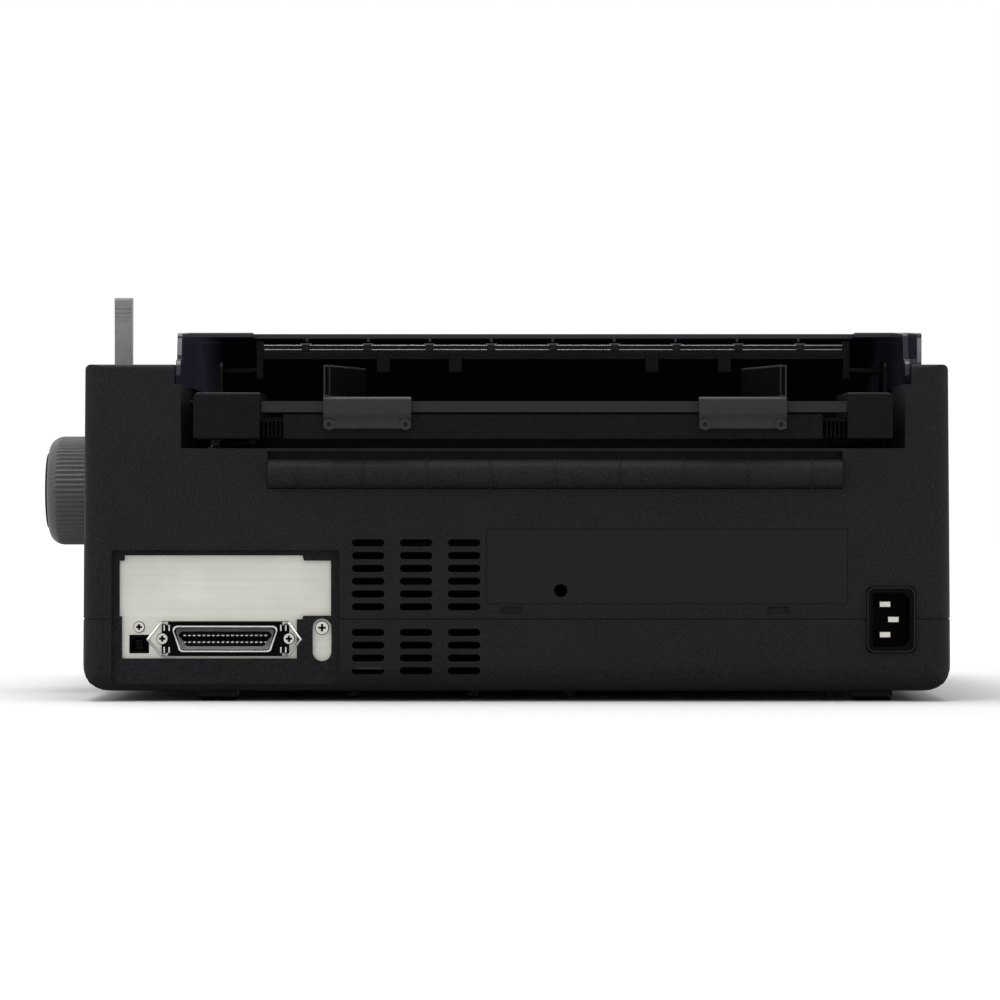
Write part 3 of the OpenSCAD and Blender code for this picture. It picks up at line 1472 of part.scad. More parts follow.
module toothed_belt() {
    color(rubber) in_frame() translate([0, 0, pulley_z + 1]) linear_extrude(pulley_h - 2) difference() {
        belt_outline(pulley_r + belt_t);
        belt_outline(pulley_r);
    }
}

module belt_outline(r) {
    for (x = [drive_x, idler_x])
        translate([x, pulley_y]) circle(r, $fn = 96);
    translate([drive_x, pulley_y - r]) square([idler_x - drive_x, 2 * r]);
}

module carriage_motor() {
    color(steel) in_frame() difference() {
        rod_z(base_z - carriage_motor_h, base_z, drive_x, pulley_y, motor_r);
        rod_z(base_z - 9, base_z + over, drive_x, pulley_y, pulley_shaft_r + run_gap);
    }
}

module ribbon_cartridge() {
    x0 = cartridge_x0;
    x1 = cartridge_x1;
    color(ink_black) in_frame() difference() {
        union() {
            box([x0, cartridge_y0, cartridge_z0], [x1, cartridge_y1, cartridge_z1]);
            for (x = [x0, x1 - arm_w]) {
                box([x, cartridge_y1 - 1, cartridge_z0], [x + arm_w, ribbon_y, cartridge_z0 + 9]);
                box([x, ribbon_y - 12, platen_z - mask_half_h], [x + arm_w, ribbon_y, cartridge_z0 + 1]);
            }
            box([x0 + arm_w - 1, ribbon_y - 0.3, platen_z - mask_half_h],
                [x1 - arm_w + 1, ribbon_y, platen_z + mask_half_h]);
            for (ear = [[frame_far_x - frame_t, x0 + 8], [x1 - 8, frame_knob_x + frame_t]])
                box([ear[0], cartridge_y0 + 2, frame_front_z],
                    [ear[1], cartridge_y0 + 14, frame_front_z + 6]);
        }
        rod_z(cartridge_z1 - 7, cartridge_z1 + over, ribbon_knob_x, ribbon_knob_y, ribbon_stem_r + run_gap);
    }
}

module ribbon_knob() {
    color(grey) in_frame() {
        translate([ribbon_knob_x, ribbon_knob_y, cartridge_z1 + seat_gap]) linear_extrude(7)
            polygon([for (i = [0 : 35]) (9 - (i % 2) * 0.6) * [cos(i * 10), sin(i * 10)]]);
        rod_z(cartridge_z1 - 6.5, cartridge_z1 + 1, ribbon_knob_x, ribbon_knob_y, ribbon_stem_r);
    }
}

module control_panel() {
    color(case_black) in_frame() on_deck() difference() {
        union() {
            box([panel_x0, panel_y0, seat_gap], [panel_x1, panel_y1, seat_gap + panel_t]);
            for (x = [panel_x0 + 12, panel_x1 - 12], y = [panel_y0 + 14, panel_y1 - 14])
                translate([x, y, -7]) cylinder(h = 8, r = 2);
        }
        for (k = [0 : 2])
            translate([button_x0 + k * button_pitch, button_y, 0])
                cube([button_w + 2 * seat_gap, button_d + 2 * seat_gap, 10], center = true);
    }
}

module button(k) {
    x = button_x0 + k * button_pitch;
    color(grey) in_frame() on_deck() {
        box([x - button_w / 2, button_y - button_d / 2, -button_flange - 0.2],
            [x + button_w / 2, button_y + button_d / 2, seat_gap + panel_t + button_rise]);
        box([x - button_w / 2 - 1, button_y - button_d / 2 - 1, -button_flange - 0.2],
            [x + button_w / 2 + 1, button_y + button_d / 2 + 1, -0.2]);
        translate([x, button_y, -6]) cylinder(h = 6, r = 1.8);
    }
}

module button_1() { button(0); }

module button_2() { button(1); }

module button_3() { button(2); }

module power_switch() {
    y = front_y + 6;
    color(case_black) in_frame() {
        along_x(switch_x - switch_w / 2, switch_x + switch_w / 2) polygon(rounded([
            [front_y + 0.3, switch_z - switch_h / 2, 0.8], [front_y + 1.2, switch_z, 0],
            [front_y + 0.3, switch_z + switch_h / 2, 0.8], [y + 2, switch_z + 4, 1], [y + 2, switch_z - 4, 1],
        ]));
        rod_x(switch_x - switch_w / 2 - switch_pin_len + 0.4, switch_x + switch_w / 2 + switch_pin_len - 0.4,
              y, switch_z, switch_pin_r);
    }
}

module release_lever() {
    half = lever_w / 2;
    color(grey) in_frame() difference() {
        union() {
            along_x(lever_x - half, lever_x + half) polygon(rounded([
                [lever_y - 5, lever_pivot_z, 2], [lever_y + 5, lever_pivot_z, 2],
                [lever_y + 4.5, lever_top_z - 24, 0], [lever_y + 5.5, lever_top_z, 1.5],
                [lever_y - 5.5, lever_top_z, 1.5], [lever_y - 4.5, lever_top_z - 24, 0],
            ]));
            rod_x(lever_x - half, lever_x + half, lever_y, lever_pivot_z, 6);
        }
        rod_x(lever_x - half - over, lever_x + half + over, lever_y, lever_pivot_z, lever_pin_r + run_gap);
        for (k = [0 : 5], y = [lever_y - 5.5, lever_y + 5.5])
            rod_x(lever_x - half - over, lever_x + half + over, y, lever_top_z - 5.8 - 1.94 * k, 0.5);
    }
}

module head_gap_lever() {
    color(lever_brown) in_frame() difference() {
        union() {
            along_x(gap_lever_x - 2, gap_lever_x + 2) polygon(rounded([
                [gap_lever_y - 4, gap_lever_z, 1], [gap_lever_y + 4, gap_lever_z, 1],
                [gap_lever_y + 3, gap_lever_z + 24, 1.5], [gap_lever_y - 3, gap_lever_z + 24, 1.5],
            ]));
            rod_x(gap_lever_x - 2, gap_lever_x + 2, gap_lever_y, gap_lever_z, 5.5);
        }
        rod_x(gap_lever_x - 5, gap_lever_x + 5, gap_lever_y, gap_lever_z, gear_pin_r + run_gap);
    }
}

module circuit_boards() {
    color(board_green) in_frame() {
        box([board_x[0], board_y[0], board_z], [board_x[1], board_y[1], board_z + board_t]);
        box([supply_x[0], supply_y[0], board_z], [supply_x[1], supply_y[1], board_z + board_t]);
        on_deck() box([panel_x0 + 8, panel_y0 + 11, -8.6], [panel_x1 - 8, panel_y1 - 11, -7]);
    }
}

lower_case();
upper_case();
rear_paper_lip();
feet();
interface_plate();
ribbon_connector();
bail_knob_side();
bail_far_side();
usb_socket();
interface_screws();
power_inlet();
inlet_pins();
printer_cover();
front_cover();
sheet_guide();
edge_guide_knob_side();
edge_guide_far_side();
tension_frame();
tear_off_edge();
tension_rollers();
platen();
platen_shaft();
platen_bushes();
platen_knob();
knob_cap();
platen_gear();
feed_gear_front();
feed_gear_rear();
feed_motor();
motor_pinion();
tractor_shaft();
tractor_rod();
tractor_knob_side();
tractor_far_side();
tractor_door_knob_side();
tractor_door_far_side();
sprocket_knob_side();
sprocket_far_side();
side_frame_knob_side();
side_frame_far_side();
engine_base();
carriage_shaft();
carriage_rail();
paper_chute();
carriage();
print_head();
drive_pulley();
idler_pulley();
toothed_belt();
carriage_motor();
ribbon_cartridge();
ribbon_knob();
control_panel();
button_1();
button_2();
button_3();
power_switch();
release_lever();
head_gap_lever();
circuit_boards();
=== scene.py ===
import math

import bmesh
import bpy
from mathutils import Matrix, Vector


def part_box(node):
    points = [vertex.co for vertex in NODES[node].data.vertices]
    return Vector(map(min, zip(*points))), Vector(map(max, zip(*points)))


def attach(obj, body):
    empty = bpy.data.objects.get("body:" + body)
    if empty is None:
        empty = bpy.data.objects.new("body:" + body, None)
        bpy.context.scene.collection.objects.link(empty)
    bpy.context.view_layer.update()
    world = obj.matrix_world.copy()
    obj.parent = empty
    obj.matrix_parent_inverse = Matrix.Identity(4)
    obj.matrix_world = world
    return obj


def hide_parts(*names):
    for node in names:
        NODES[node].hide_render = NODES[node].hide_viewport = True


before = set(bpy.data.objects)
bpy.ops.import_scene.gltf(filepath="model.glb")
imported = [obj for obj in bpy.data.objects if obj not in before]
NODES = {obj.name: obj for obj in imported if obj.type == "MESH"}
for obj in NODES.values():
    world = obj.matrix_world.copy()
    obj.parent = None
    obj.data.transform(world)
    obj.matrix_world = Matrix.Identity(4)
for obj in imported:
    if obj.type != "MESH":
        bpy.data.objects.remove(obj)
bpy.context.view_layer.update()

MM = 0.001

# Sizes and places are in mm from the middle of the case, as in the part's source: X to the knob's side and Y
# to the rear. The frame is centred on the whole object's box, knob and lip included, so it lies this far off.
CASE_TO_FRAME = (-13.5, -3.625)
REAR_Y = 172.0

# Interface panel: its plate, the ribbon connector's D and posts, the USB socket, the screws with their radii
PLATE_Y = 165.7
RECESS_FLOOR_Y = 168.0
CONNECTOR_X, CONNECTOR_Z = 132.0, 28.2
D_HALF_TOP, D_HALF_BOTTOM, D_HALF_HEIGHT, D_CORNER_R = 23.6, 21.1, 5.8, 2.0
CONTACT_PITCH, CONTACT_COUNT = 2.16, 18
POST_X, POST_Z = 26.4, 5.0
USB_X, USB_Z = 171.1, 25.8
SCREW_PLACES = [(171.1, 33.5, 2.3), (88.2, 33.2, 2.9), (160.6, 28.2, 2.4), (103.2, 28.2, 2.4)]

# Rear face: the mains inlet, the label field (low X, high X, low Z, high Z) with its hole, and the paper lip
INLET_X, INLET_Z = -169.2, 37.0
LABEL_FIELD = (-149.6, 13.8, 44.2, 77.9)
LABEL_HOLE = (-19.9, 50.1, 3.05)
LIP_MIDDLE_X, LIP_LENGTH, LIP_R, LIP_Z, LIP_BACK_Y = -17.3, 259.4, 6.45, 102.95, 171.2
RIB_X = [98.7 - 29.0 * i for i in range(9)]

# Front wall and deck: the front cover's field, the faces it closes on, the lamps, the deck's crest and slope
FLAP = (-150.0, 70.0, 22.4, 68.4)
WALL_Y, FLAP_LIP_Y = -169.5, -168.6
LAMP_X, LAMP_Y = (112.0, 129.0, 146.0, 163.0), -48.0
DECK_Y, DECK_Z = -62.0, 118.0
DECK_SLOPE = math.atan2(28.0, 110.0)

# Tension unit, guide rail and cover: a side wall of the cover has its two X and the Y and Z of its rear edge
TENSION_Y, TENSION_SPAN, TENSION_LINES_Z = 89.0, (-153.0, 118.4), (161.4, 163.4)
RAIL_FACE_Y, RAIL_FIELD = 174.0, (-149.4, 115.5, 130.75, 135.65)
SEAL_FIELD, SEAL_DEPTHS = (-175.4, 151.7, 113.6, 118.6), (-64.0, -61.6)
# The cover's middle in X, and the distances from it over which its painted emission rises to full
COVER_MIDDLE_X, COVER_PAINTED_GLOW_FROM, COVER_PAINTED_GLOW_TO = -15.5, 158.0, 172.0
COVER_EDGES = [(152.55, 154.5, [(155.4, 157.0), (154.4, 160.0), (153.4, 163.0), (152.8, 164.8)]),
               (-184.6, -182.65, [(152.0, 153.6), (152.0, 157.0), (152.0, 161.0), (152.0, 165.0)])]

# Edges: the angles from which one is rounded or kept crisp, and how near two points of a mesh are joined
BEVEL_FROM, CRISP_FROM = math.radians(32), math.radians(30)
JOIN_WITHIN = 0.002 * MM


# ---------------------------------------------------------------- camera

# The photograph is taken level, from straight behind, so far off that the sides don't show.
MM_PER_PIXEL, PICTURE_PIXELS = 0.452, 1000
PICTURE_MIDDLE_X, PICTURE_MIDDLE_Z = 7.57, 91.08
CAMERA_DISTANCE = 2.2
SENSOR_MM = 36.0


def make_camera():
    data = bpy.data.cameras.new("camera")
    data.sensor_width = SENSOR_MM
    data.lens = SENSOR_MM * CAMERA_DISTANCE / (MM_PER_PIXEL * PICTURE_PIXELS * MM)
    data.clip_end = 60
    camera = bpy.data.objects.new("camera", data)
    camera.location = in_frame(PICTURE_MIDDLE_X, REAR_Y, PICTURE_MIDDLE_Z) + Vector((0, CAMERA_DISTANCE, 0))
    camera.rotation_euler = (math.radians(90), 0, math.radians(180))
    bpy.context.scene.collection.objects.link(camera)
    bpy.context.scene.camera = camera


# ---------------------------------------------------------------- studio

# In metres: what the lamps look at, the paper floor, and how far out it turns from lit to shining by itself.
LAMP_AIM = (0, 0, 0.08)
FLOOR_R, FLOOR_Z = 9, -0.0002
FLOOR_LIT_TO, FLOOR_SHINES_FROM = 0.45, 1.6


def soft_light(name, place, size, power):
    data = bpy.data.lights.new(name, "AREA")
    data.shape = "SQUARE"
    data.size = size
    data.energy = power
    lamp = bpy.data.objects.new(name, data)
    lamp.location = place
    aim = Vector(LAMP_AIM) - Vector(place)
    lamp.rotation_euler = aim.to_track_quat("-Z", "Y").to_euler()
    bpy.context.scene.collection.objects.link(lamp)


def make_studio():
    world = bpy.data.worlds.new("studio_air")
    world.use_nodes = True
    air = world.node_tree.nodes["Background"]
    air.inputs["Color"].default_value = linear("#ffffff")
    air.inputs["Strength"].default_value = 1.0
    bpy.context.scene.world = world
    bpy.context.scene.view_settings.view_transform = "Standard"
    soft_light("light_above", (0.2, 0.15, 2.0), 1.4, 38)
    soft_light("light_left", (2.0, 2.0, 1.7), 1.2, 12)
    soft_light("light_right", (-2.2, 1.4, 1.4), 1.2, 6)
    soft_light("light_front", (0.4, -2.4, 1.8), 1.4, 14)
    bpy.ops.mesh.primitive_circle_add(vertices=96, radius=FLOOR_R, fill_type="NGON", location=(0, 0, FLOOR_Z))
    floor = bpy.context.object
    floor.name = "floor"
    floor.data.materials.append(studio_floor())


# ---------------------------------------------------------------- materials

def linear(code):
    """Turns an sRGB hex colour into Blender's linear one."""
    parts = [int(code[i:i + 2], 16) / 255 for i in (1, 3, 5)]
    return tuple(p / 12.92 if p <= 0.04045 else ((p + 0.055) / 1.055) ** 2.4 for p in parts) + (1.0,)


def add(tree, kind, inputs=None, **settings):
    """Adds a node with its settings; an input given as a socket is linked, any other is set."""
    node = tree.nodes.new(kind)
    for name, value in settings.items():
        setattr(node, name, value)
    for name, value in (inputs or {}).items():
        socket = node.inputs[name]
        if isinstance(value, bpy.types.NodeSocket):
            tree.links.new(value, socket)
        else:
            socket.default_value = value
    return node


def start(name, **sockets):
    """A new material: its tree, its shader with the plain values set, and coordinates in metres."""
    mat = bpy.data.materials.new(name)
    mat.use_nodes = True
    tree = mat.node_tree
    shader = tree.nodes["Principled BSDF"]
    for socket, value in sockets.items():
        shader.inputs[socket.replace("_", " ")].default_value = value
    return mat, tree, shader, add(tree, "ShaderNodeTexCoord").outputs["Object"]


def per_metre(size_mm):
    return 1 / (size_mm * MM)


def tinted(tree, shader, factor, dark, light, low=0.3, high=0.7):
    """Runs a pattern between two near colours and into the shader's base colour."""
    ramp = add(tree, "ShaderNodeValToRGB", {"Fac": factor})
    ramp.color_ramp.elements[0].position = low
    ramp.color_ramp.elements[0].color = linear(dark)
    ramp.color_ramp.elements[1].position = high
    ramp.color_ramp.elements[1].color = linear(light)
    tree.links.new(ramp.outputs["Color"], shader.inputs["Base Color"])


def roughened(tree, shader, factor, low, high):
    """Lets a pattern move the roughness between two values."""
    spread = add(tree, "ShaderNodeMapRange", {"Value": factor, "To Min": low, "To Max": high})
    tree.links.new(spread.outputs["Result"], shader.inputs["Roughness"])


def raised(tree, shader, factor, depth_mm, edge_mm=0.4):
    """Raises a pattern by its real depth, and rounds the light over sharp edges by their real radius."""
    edge = add(tree, "ShaderNodeBevel", {"Radius": edge_mm * MM}, samples=4).outputs["Normal"]
    bump = add(tree, "ShaderNodeBump", {"Height": factor, "Distance": depth_mm * MM, "Normal": edge})
    tree.links.new(bump.outputs["Normal"], shader.inputs["Normal"])


def moulded(name, dark, light, rough, grain_mm, depth_mm, specular=0.08):
    """Moulded plastic with a spark-eroded grain: a matt skin of fine bumps, a little uneven in tone."""
    mat, tree, shader, place = start(name, IOR=1.46, Specular_IOR_Level=specular)
    grain = add(tree, "ShaderNodeTexNoise", {
        "Vector": place, "Scale": per_metre(grain_mm), "Detail": 3.0, "Roughness": 0.62}).outputs["Fac"]
    flow = add(tree, "ShaderNodeTexNoise", {
        "Vector": place, "Scale": per_metre(26), "Detail": 2.0}).outputs["Fac"]
    tone = add(tree, "ShaderNodeMix", {"Factor": 0.12, "A": grain, "B": flow}).outputs["Result"]
    tinted(tree, shader, tone, dark, light, 0.34, 0.66)
    roughened(tree, shader, grain, rough - 0.08, rough + 0.1)
    raised(tree, shader, grain, depth_mm)
    return mat


def brushed(name, dark, light, rough, along, streak_mm=0.35, length_mm=30, depth_mm=0.006):
    """Metal with fine drawn lines along one axis, so that light stretches across them."""
    mat, tree, shader, place = start(name, Metallic=1.0)
    scale = [per_metre(streak_mm)] * 3
    scale[along] = per_metre(length_mm)
    lines = add(tree, "ShaderNodeMapping", {"Vector": place, "Scale": scale}).outputs["Vector"]
    streaks = add(tree, "ShaderNodeTexNoise", {"Vector": lines, "Scale": 1.0, "Detail": 4.0}).outputs["Fac"]
    tinted(tree, shader, streaks, dark, light)
    roughened(tree, shader, streaks, rough - 0.07, rough + 0.09)
    raised(tree, shader, streaks, depth_mm)
    return mat


def studio_floor():
    """Pale seamless paper: white where the lamps reach, with a soft shadow, and lit by itself further out."""
    mat, tree, shader, place = start("seamless_paper", Roughness=0.9, Specular_IOR_Level=0.0,
                                     Emission_Color=linear("#ffffff"))
    fibre = add(tree, "ShaderNodeTexNoise", {"Vector": place, "Scale": per_metre(4)}).outputs["Fac"]
    tinted(tree, shader, fibre, "#c1c1c1", "#c6c6c6")
    reach = add(tree, "ShaderNodeVectorMath", {0: place}, operation="LENGTH").outputs["Value"]
    lift = add(tree, "ShaderNodeMapRange", {
        "Value": reach, "From Min": FLOOR_LIT_TO, "From Max": FLOOR_SHINES_FROM,
        "To Min": 0.0, "To Max": 0.6})
    tree.links.new(lift.outputs["Result"], shader.inputs["Emission Strength"])
    return mat


def black_abs():
    # Fine spark-eroded grain, drawn at 0.9 mm so that it shows as a speckle: deep grey, matt, without shine.
    return moulded("black_textured_abs", "#101011", "#212123", 0.52, 0.9, 0.05)


def shaded_abs():
    # The guide's and the tension unit's mouldings: the same grain, finer, in a black darker than the case's
    # as painted shade.
    return moulded("black_fine_abs_painted_shade", "#070708", "#151517", 0.5, 0.7, 0.04, 0.06)


def smooth_black_abs():
    # The case's moulding where its tool was left smooth: even in tone, with a flat silky look.
    return moulded("black_smooth_abs", "#161617", "#1b1b1c", 0.42, 1.6, 0.006, 0.1)


def satin_black():
    # Glass-filled nylon of the engine's mouldings: satin black with a faint cloudiness.
    return moulded("black_glass_filled_nylon", "#0b0b0c", "#151517", 0.42, 1.4, 0.02, 0.12)


def jet_polyester():
    # Glass-filled polyester of the sockets: jet black and even, with a low shine.
    return moulded("black_socket_polyester", "#020203", "#070708", 0.4, 1.2, 0.01, 0.04)


def mid_grey_abs():
    # Grey moulded ABS of the platen's knob: even mid grey that catches a soft light on each flute.
    return moulded("mid_grey_abs", "#434445", "#505152", 0.44, 0.8, 0.03, 0.2)


def dark_grey_abs():
    # Slate grey moulded ABS of the edge guides, the buttons and the ribbon's knob.
    return moulded("slate_grey_abs", "#1d1e20", "#252628", 0.36, 0.8, 0.02, 0.2)


def cap_abs():
    # The knob's cap: nearly black and quite matt.
    return moulded("dark_knob_cap_abs", "#131314", "#1a1a1b", 0.6, 0.8, 0.02, 0.0)


def painted_shade_black():
    # Painted shade: near black and dead matt, for the bottoms of small recesses and hollow faces where no
    # light falls.
    return moulded("painted_shade_recess", "#030303", "#080807", 0.9, 0.3, 0.02, 0.02)


def rail_grey_abs():
    # The rail's face, rubbed smooth by the guides that slide on it, and the inlet's bead: a dull dark grey.
    # On the bead that grey is a painted highlight along the flange's edge.
    return moulded("worn_rail_and_highlight_abs", "#212122", "#272728", 0.4, 1.2, 0.01, 0.1)


def open_foam():
    # Charcoal foam of the cover's seal: dead matt, with open pores.
    return moulded("charcoal_foam", "#060606", "#161617", 0.95, 1.1, 0.25, 0.02)


def edge_painted_highlight():
    # Edge of the smoked acrylic as painted highlight: a soft grey that stands in for the light its edges
    # catch.
    return moulded("acrylic_edge_painted_highlight", "#5b5b62", "#6a6a72", 0.2, 2.5, 0.005, 0.3)


def lens_green():
    """Clear green lamp lens: smooth, a little lit from inside, with a faint cloud in the resin."""
    mat, tree, shader, place = start("green_lamp_lens", IOR=1.5, Specular_IOR_Level=0.5, Coat_Weight=0.4,
                                     Emission_Color=linear("#2f7a45"), Emission_Strength=0.12)
    cloud = add(tree, "ShaderNodeTexNoise", {"Vector": place, "Scale": per_metre(1.5)}).outputs["Fac"]
    tinted(tree, shader, cloud, "#1f5a31", "#2c7541")
    roughened(tree, shader, cloud, 0.12, 0.22)
    return mat


def lever_grey_abs():
    # Grey moulded ABS of the release lever: lighter than the knob, and rubbed a little smoother by fingers.
    return moulded("light_grey_abs", "#6e6e6f", "#7c7c7d", 0.42, 0.9, 0.02, 0.2)


def smoked_cover():
    """Smoke-tinted acrylic, polished: near black, with hair-fine scratches, and a faint blue emission painted
    in towards the side walls, which stands in for light seen through them."""
    mat, tree, shader, place = start("smoked_acrylic", IOR=1.49, Specular_IOR_Level=0.35,
                                     Emission_Color=linear("#8886a4"))
    stretched = add(tree, "ShaderNodeMapping", {
        "Vector": place, "Scale": (per_metre(14), per_metre(0.5), per_metre(0.5)),
        "Rotation": (0, 0, math.radians(24))}).outputs["Vector"]
    hairs = add(tree, "ShaderNodeTexNoise", {"Vector": stretched, "Scale": 1.0, "Detail": 5.0}).outputs["Fac"]
    haze = add(tree, "ShaderNodeTexNoise", {"Vector": place, "Scale": per_metre(40)}).outputs["Fac"]
    tinted(tree, shader, haze, "#0a0a0f", "#101018")
    roughened(tree, shader, hairs, 0.1, 0.24)
    raised(tree, shader, hairs, 0.002, 0.6)
    # Painted light: an emission that rises from the cover's middle out to its side walls, where there is no
    # lamp.
    along = add(tree, "ShaderNodeSeparateXYZ", {"Vector": place}).outputs["X"]
    middle = (COVER_MIDDLE_X + CASE_TO_FRAME[0]) * MM
    side = add(tree, "ShaderNodeMath", {0: along, 1: middle}, operation="SUBTRACT").outputs["Value"]
    away = add(tree, "ShaderNodeMath", {0: side}, operation="ABSOLUTE").outputs["Value"]
    painted_glow = add(tree, "ShaderNodeMapRange", {
        "Value": away, "From Min": COVER_PAINTED_GLOW_FROM * MM, "From Max": COVER_PAINTED_GLOW_TO * MM,
        "To Min": 0.002, "To Max": 0.045})
    tree.links.new(painted_glow.outputs["Result"], shader.inputs["Emission Strength"])
    return mat


def platen_rubber():
    """Ground nitrile rubber: matt black with the grinding wheel's fine rings."""
    mat, tree, shader, place = start("ground_nitrile_rubber", Specular_IOR_Level=0.25)
    ringed = add(tree, "ShaderNodeMapping", {
        "Vector": place, "Scale": (per_metre(0.4), per_metre(9), per_metre(9))}).outputs["Vector"]
    rings = add(tree, "ShaderNodeTexNoise", {"Vector": ringed, "Scale": 1.0, "Detail": 4.0}).outputs["Fac"]
    tinted(tree, shader, rings, "#0a0a0a", "#151516")
    roughened(tree, shader, rings, 0.55, 0.8)
    raised(tree, shader, rings, 0.012)
    return mat


def soft_rubber():
    # Moulded rubber of the feet and the belt: dead matt, with a dusty grain.
    return moulded("moulded_rubber", "#020202", "#080808", 0.85, 0.7, 0.05, 0.02)


def zinc_plate():
    """Zinc-plated sheet steel: pale, warm and silky, with faint rolling lines along it."""
    mat, tree, shader, place = start("zinc_plated_steel", Metallic=0.3, Specular_IOR_Level=0.3)
    rolled = add(tree, "ShaderNodeMapping", {
        "Vector": place, "Scale": (per_metre(90), per_metre(1.1), per_metre(1.1))}).outputs["Vector"]
    lines = add(tree, "ShaderNodeTexNoise", {"Vector": rolled, "Scale": 1.0, "Detail": 3.0}).outputs["Fac"]
    cloud = add(tree, "ShaderNodeTexNoise", {
        "Vector": place, "Scale": per_metre(18), "Detail": 1.0}).outputs["Fac"]
    mixed = add(tree, "ShaderNodeMix", {"Factor": 0.5, "A": lines, "B": cloud}).outputs["Result"]
    tinted(tree, shader, mixed, "#c0bfb7", "#cfcec6")
    roughened(tree, shader, lines, 0.4, 0.52)
    raised(tree, shader, lines, 0.003, 0.15)
    return mat


def blackened_steel():
    # Sheet steel of the engine under black electro-coat: dark, with a dull sheen along its rolling lines.
    return brushed("black_coated_steel", "#131314", "#1f1f20", 0.45, 0, 0.8, 40)


def bright_steel():
    # Stainless spring steel and nickel shells: bright and cool, with drawn lines.
    return brushed("nickel_bright_steel", "#b4b4b2", "#d2d2cf", 0.26, 0)


def ground_shaft():
    # Ground and polished bar, with rings left by the grinder.
    return brushed("ground_steel_shaft", "#a9abad", "#c8cacc", 0.2, 1, 0.4, 8)


def motor_steel():
    # Plated steel of the motor cans and the tension unit's bar: mid grey metal, slightly cloudy.
    # On the bar it lies as two thin strips of painted highlight.
    return brushed("plated_motor_can", "#8b8d90", "#a2a4a7", 0.36, 2, 0.6, 12)


def gilt_contact():
    # Gold-flashed phosphor bronze of the square socket's contacts: small warm glints.
    return brushed("gold_flashed_bronze", "#b79d5a", "#d8c07c", 0.28, 1, 0.2, 4, 0.002)


def nickel_brass():
    # Nickel-plated brass of the screws, inlet pins and ribbon connector's contacts: a soft silvery white.
    return brushed("nickel_plated_brass", "#b9b7b0", "#d6d4cc", 0.3, 1, 0.3, 5)


def throat_metal():
    # Inside of the drawn nickel shell: its nickel made a dull grey as painted shade, with drawing lines
    # round the slope.
    return brushed("drawn_nickel_throat_painted_shade", "#55565a", "#6b6c6e", 0.5, 0, 0.5, 14)


def black_casting():
    """Black anodised casting of the print head: dark metal, sandy from the mould."""
    mat, tree, shader, place = start("black_anodised_casting", Metallic=0.6)
    sand = add(tree, "ShaderNodeTexNoise", {
        "Vector": place, "Scale": per_metre(0.6), "Detail": 4.0}).outputs["Fac"]
    tinted(tree, shader, sand, "#232425", "#343538")
    roughened(tree, shader, sand, 0.42, 0.62)
    raised(tree, shader, sand, 0.03)
    return mat


def white_acetal():
    """Natural acetal resin: milky, a little see-through at thin edges, satin where teeth run."""
    mat, tree, shader, place = start("natural_acetal", IOR=1.48, Subsurface_Weight=0.15,
                                     Subsurface_Scale=2 * MM)
    cloud = add(tree, "ShaderNodeTexNoise", {
        "Vector": place, "Scale": per_metre(7), "Detail": 3.0}).outputs["Fac"]
    tinted(tree, shader, cloud, "#cfccbf", "#e0ddd1")
    roughened(tree, shader, cloud, 0.34, 0.46)
    raised(tree, shader, cloud, 0.01)
    return mat


def green_laminate():
    """Green lacquered glass laminate: glossy, with the weave and the copper runs showing through faintly."""
    mat, tree, shader, place = start("lacquered_glass_laminate", Coat_Weight=0.1, Coat_Roughness=0.2)
    runs = add(tree, "ShaderNodeTexBrick", {
        "Vector": place, "Scale": per_metre(6), "Color1": linear("#10291a"), "Color2": linear("#14321f"),
        "Mortar": linear("#25492f"), "Mortar Size": 0.05})
    tree.links.new(runs.outputs["Color"], shader.inputs["Base Color"])
    weave = add(tree, "ShaderNodeTexNoise", {"Vector": place, "Scale": per_metre(0.8)}).outputs["Fac"]
    roughened(tree, shader, weave, 0.3, 0.45)
    raised(tree, shader, weave, 0.01)
    return mat


# ---------------------------------------------------------------- meshes

def in_frame(x, y, z):
    """A point given from the middle of the case, in mm, as a place in the frame, in metres."""
    return Vector(((x + CASE_TO_FRAME[0]) * MM, (y + CASE_TO_FRAME[1]) * MM, z * MM))


def on_deck(x, y, h):
    """A point on the sloping deck: y runs down from the crest, h stands off the deck."""
    c, s = math.cos(DECK_SLOPE), math.sin(DECK_SLOPE)
    return in_frame(x, DECK_Y + y * c - h * s, DECK_Z + y * s + h * c)


def piece(name, bm, mat, body, bevel_mm=0.0, segments=2):
    """Turns a finished bmesh, in metres, into a piece that rides on a body."""
    bmesh.ops.recalc_face_normals(bm, faces=bm.faces)
    data = bpy.data.meshes.new(name)
    bm.to_mesh(data)
    bm.free()
    obj = bpy.data.objects.new(name, data)
    bpy.context.scene.collection.objects.link(obj)
    data.materials.append(mat)
    if bevel_mm:
        rounded_edges(obj, bevel_mm, segments)
    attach(obj, body)
    return obj


def rounded_edges(obj, width_mm, segments):
    """Gives sharp edges the small radius that moulded and pressed edges have."""
    for face in obj.data.polygons:
        face.use_smooth = True
    bevel = obj.modifiers.new("edge_radius", "BEVEL")
    bevel.width = width_mm * MM
    bevel.segments = segments
    bevel.limit_method = "ANGLE"
    bevel.angle_limit = BEVEL_FROM
    bevel.harden_normals = True


def walls(bm, rows):
    """Joins each loop of vertices to the next one with a wall of quads."""
    for a, b in zip(rows, rows[1:]):
        for i in range(len(a)):
            j = (i + 1) % len(a)
            bm.faces.new((a[i], b[i], b[j], a[j]))


def block(bm, *loops):
    """Adds a closed block through loops of places in the frame that have the same number of points."""
    rows = [[bm.verts.new(place) for place in loop] for loop in loops]
    bm.faces.new(rows[0])
    bm.faces.new(rows[-1][::-1])
    walls(bm, rows)


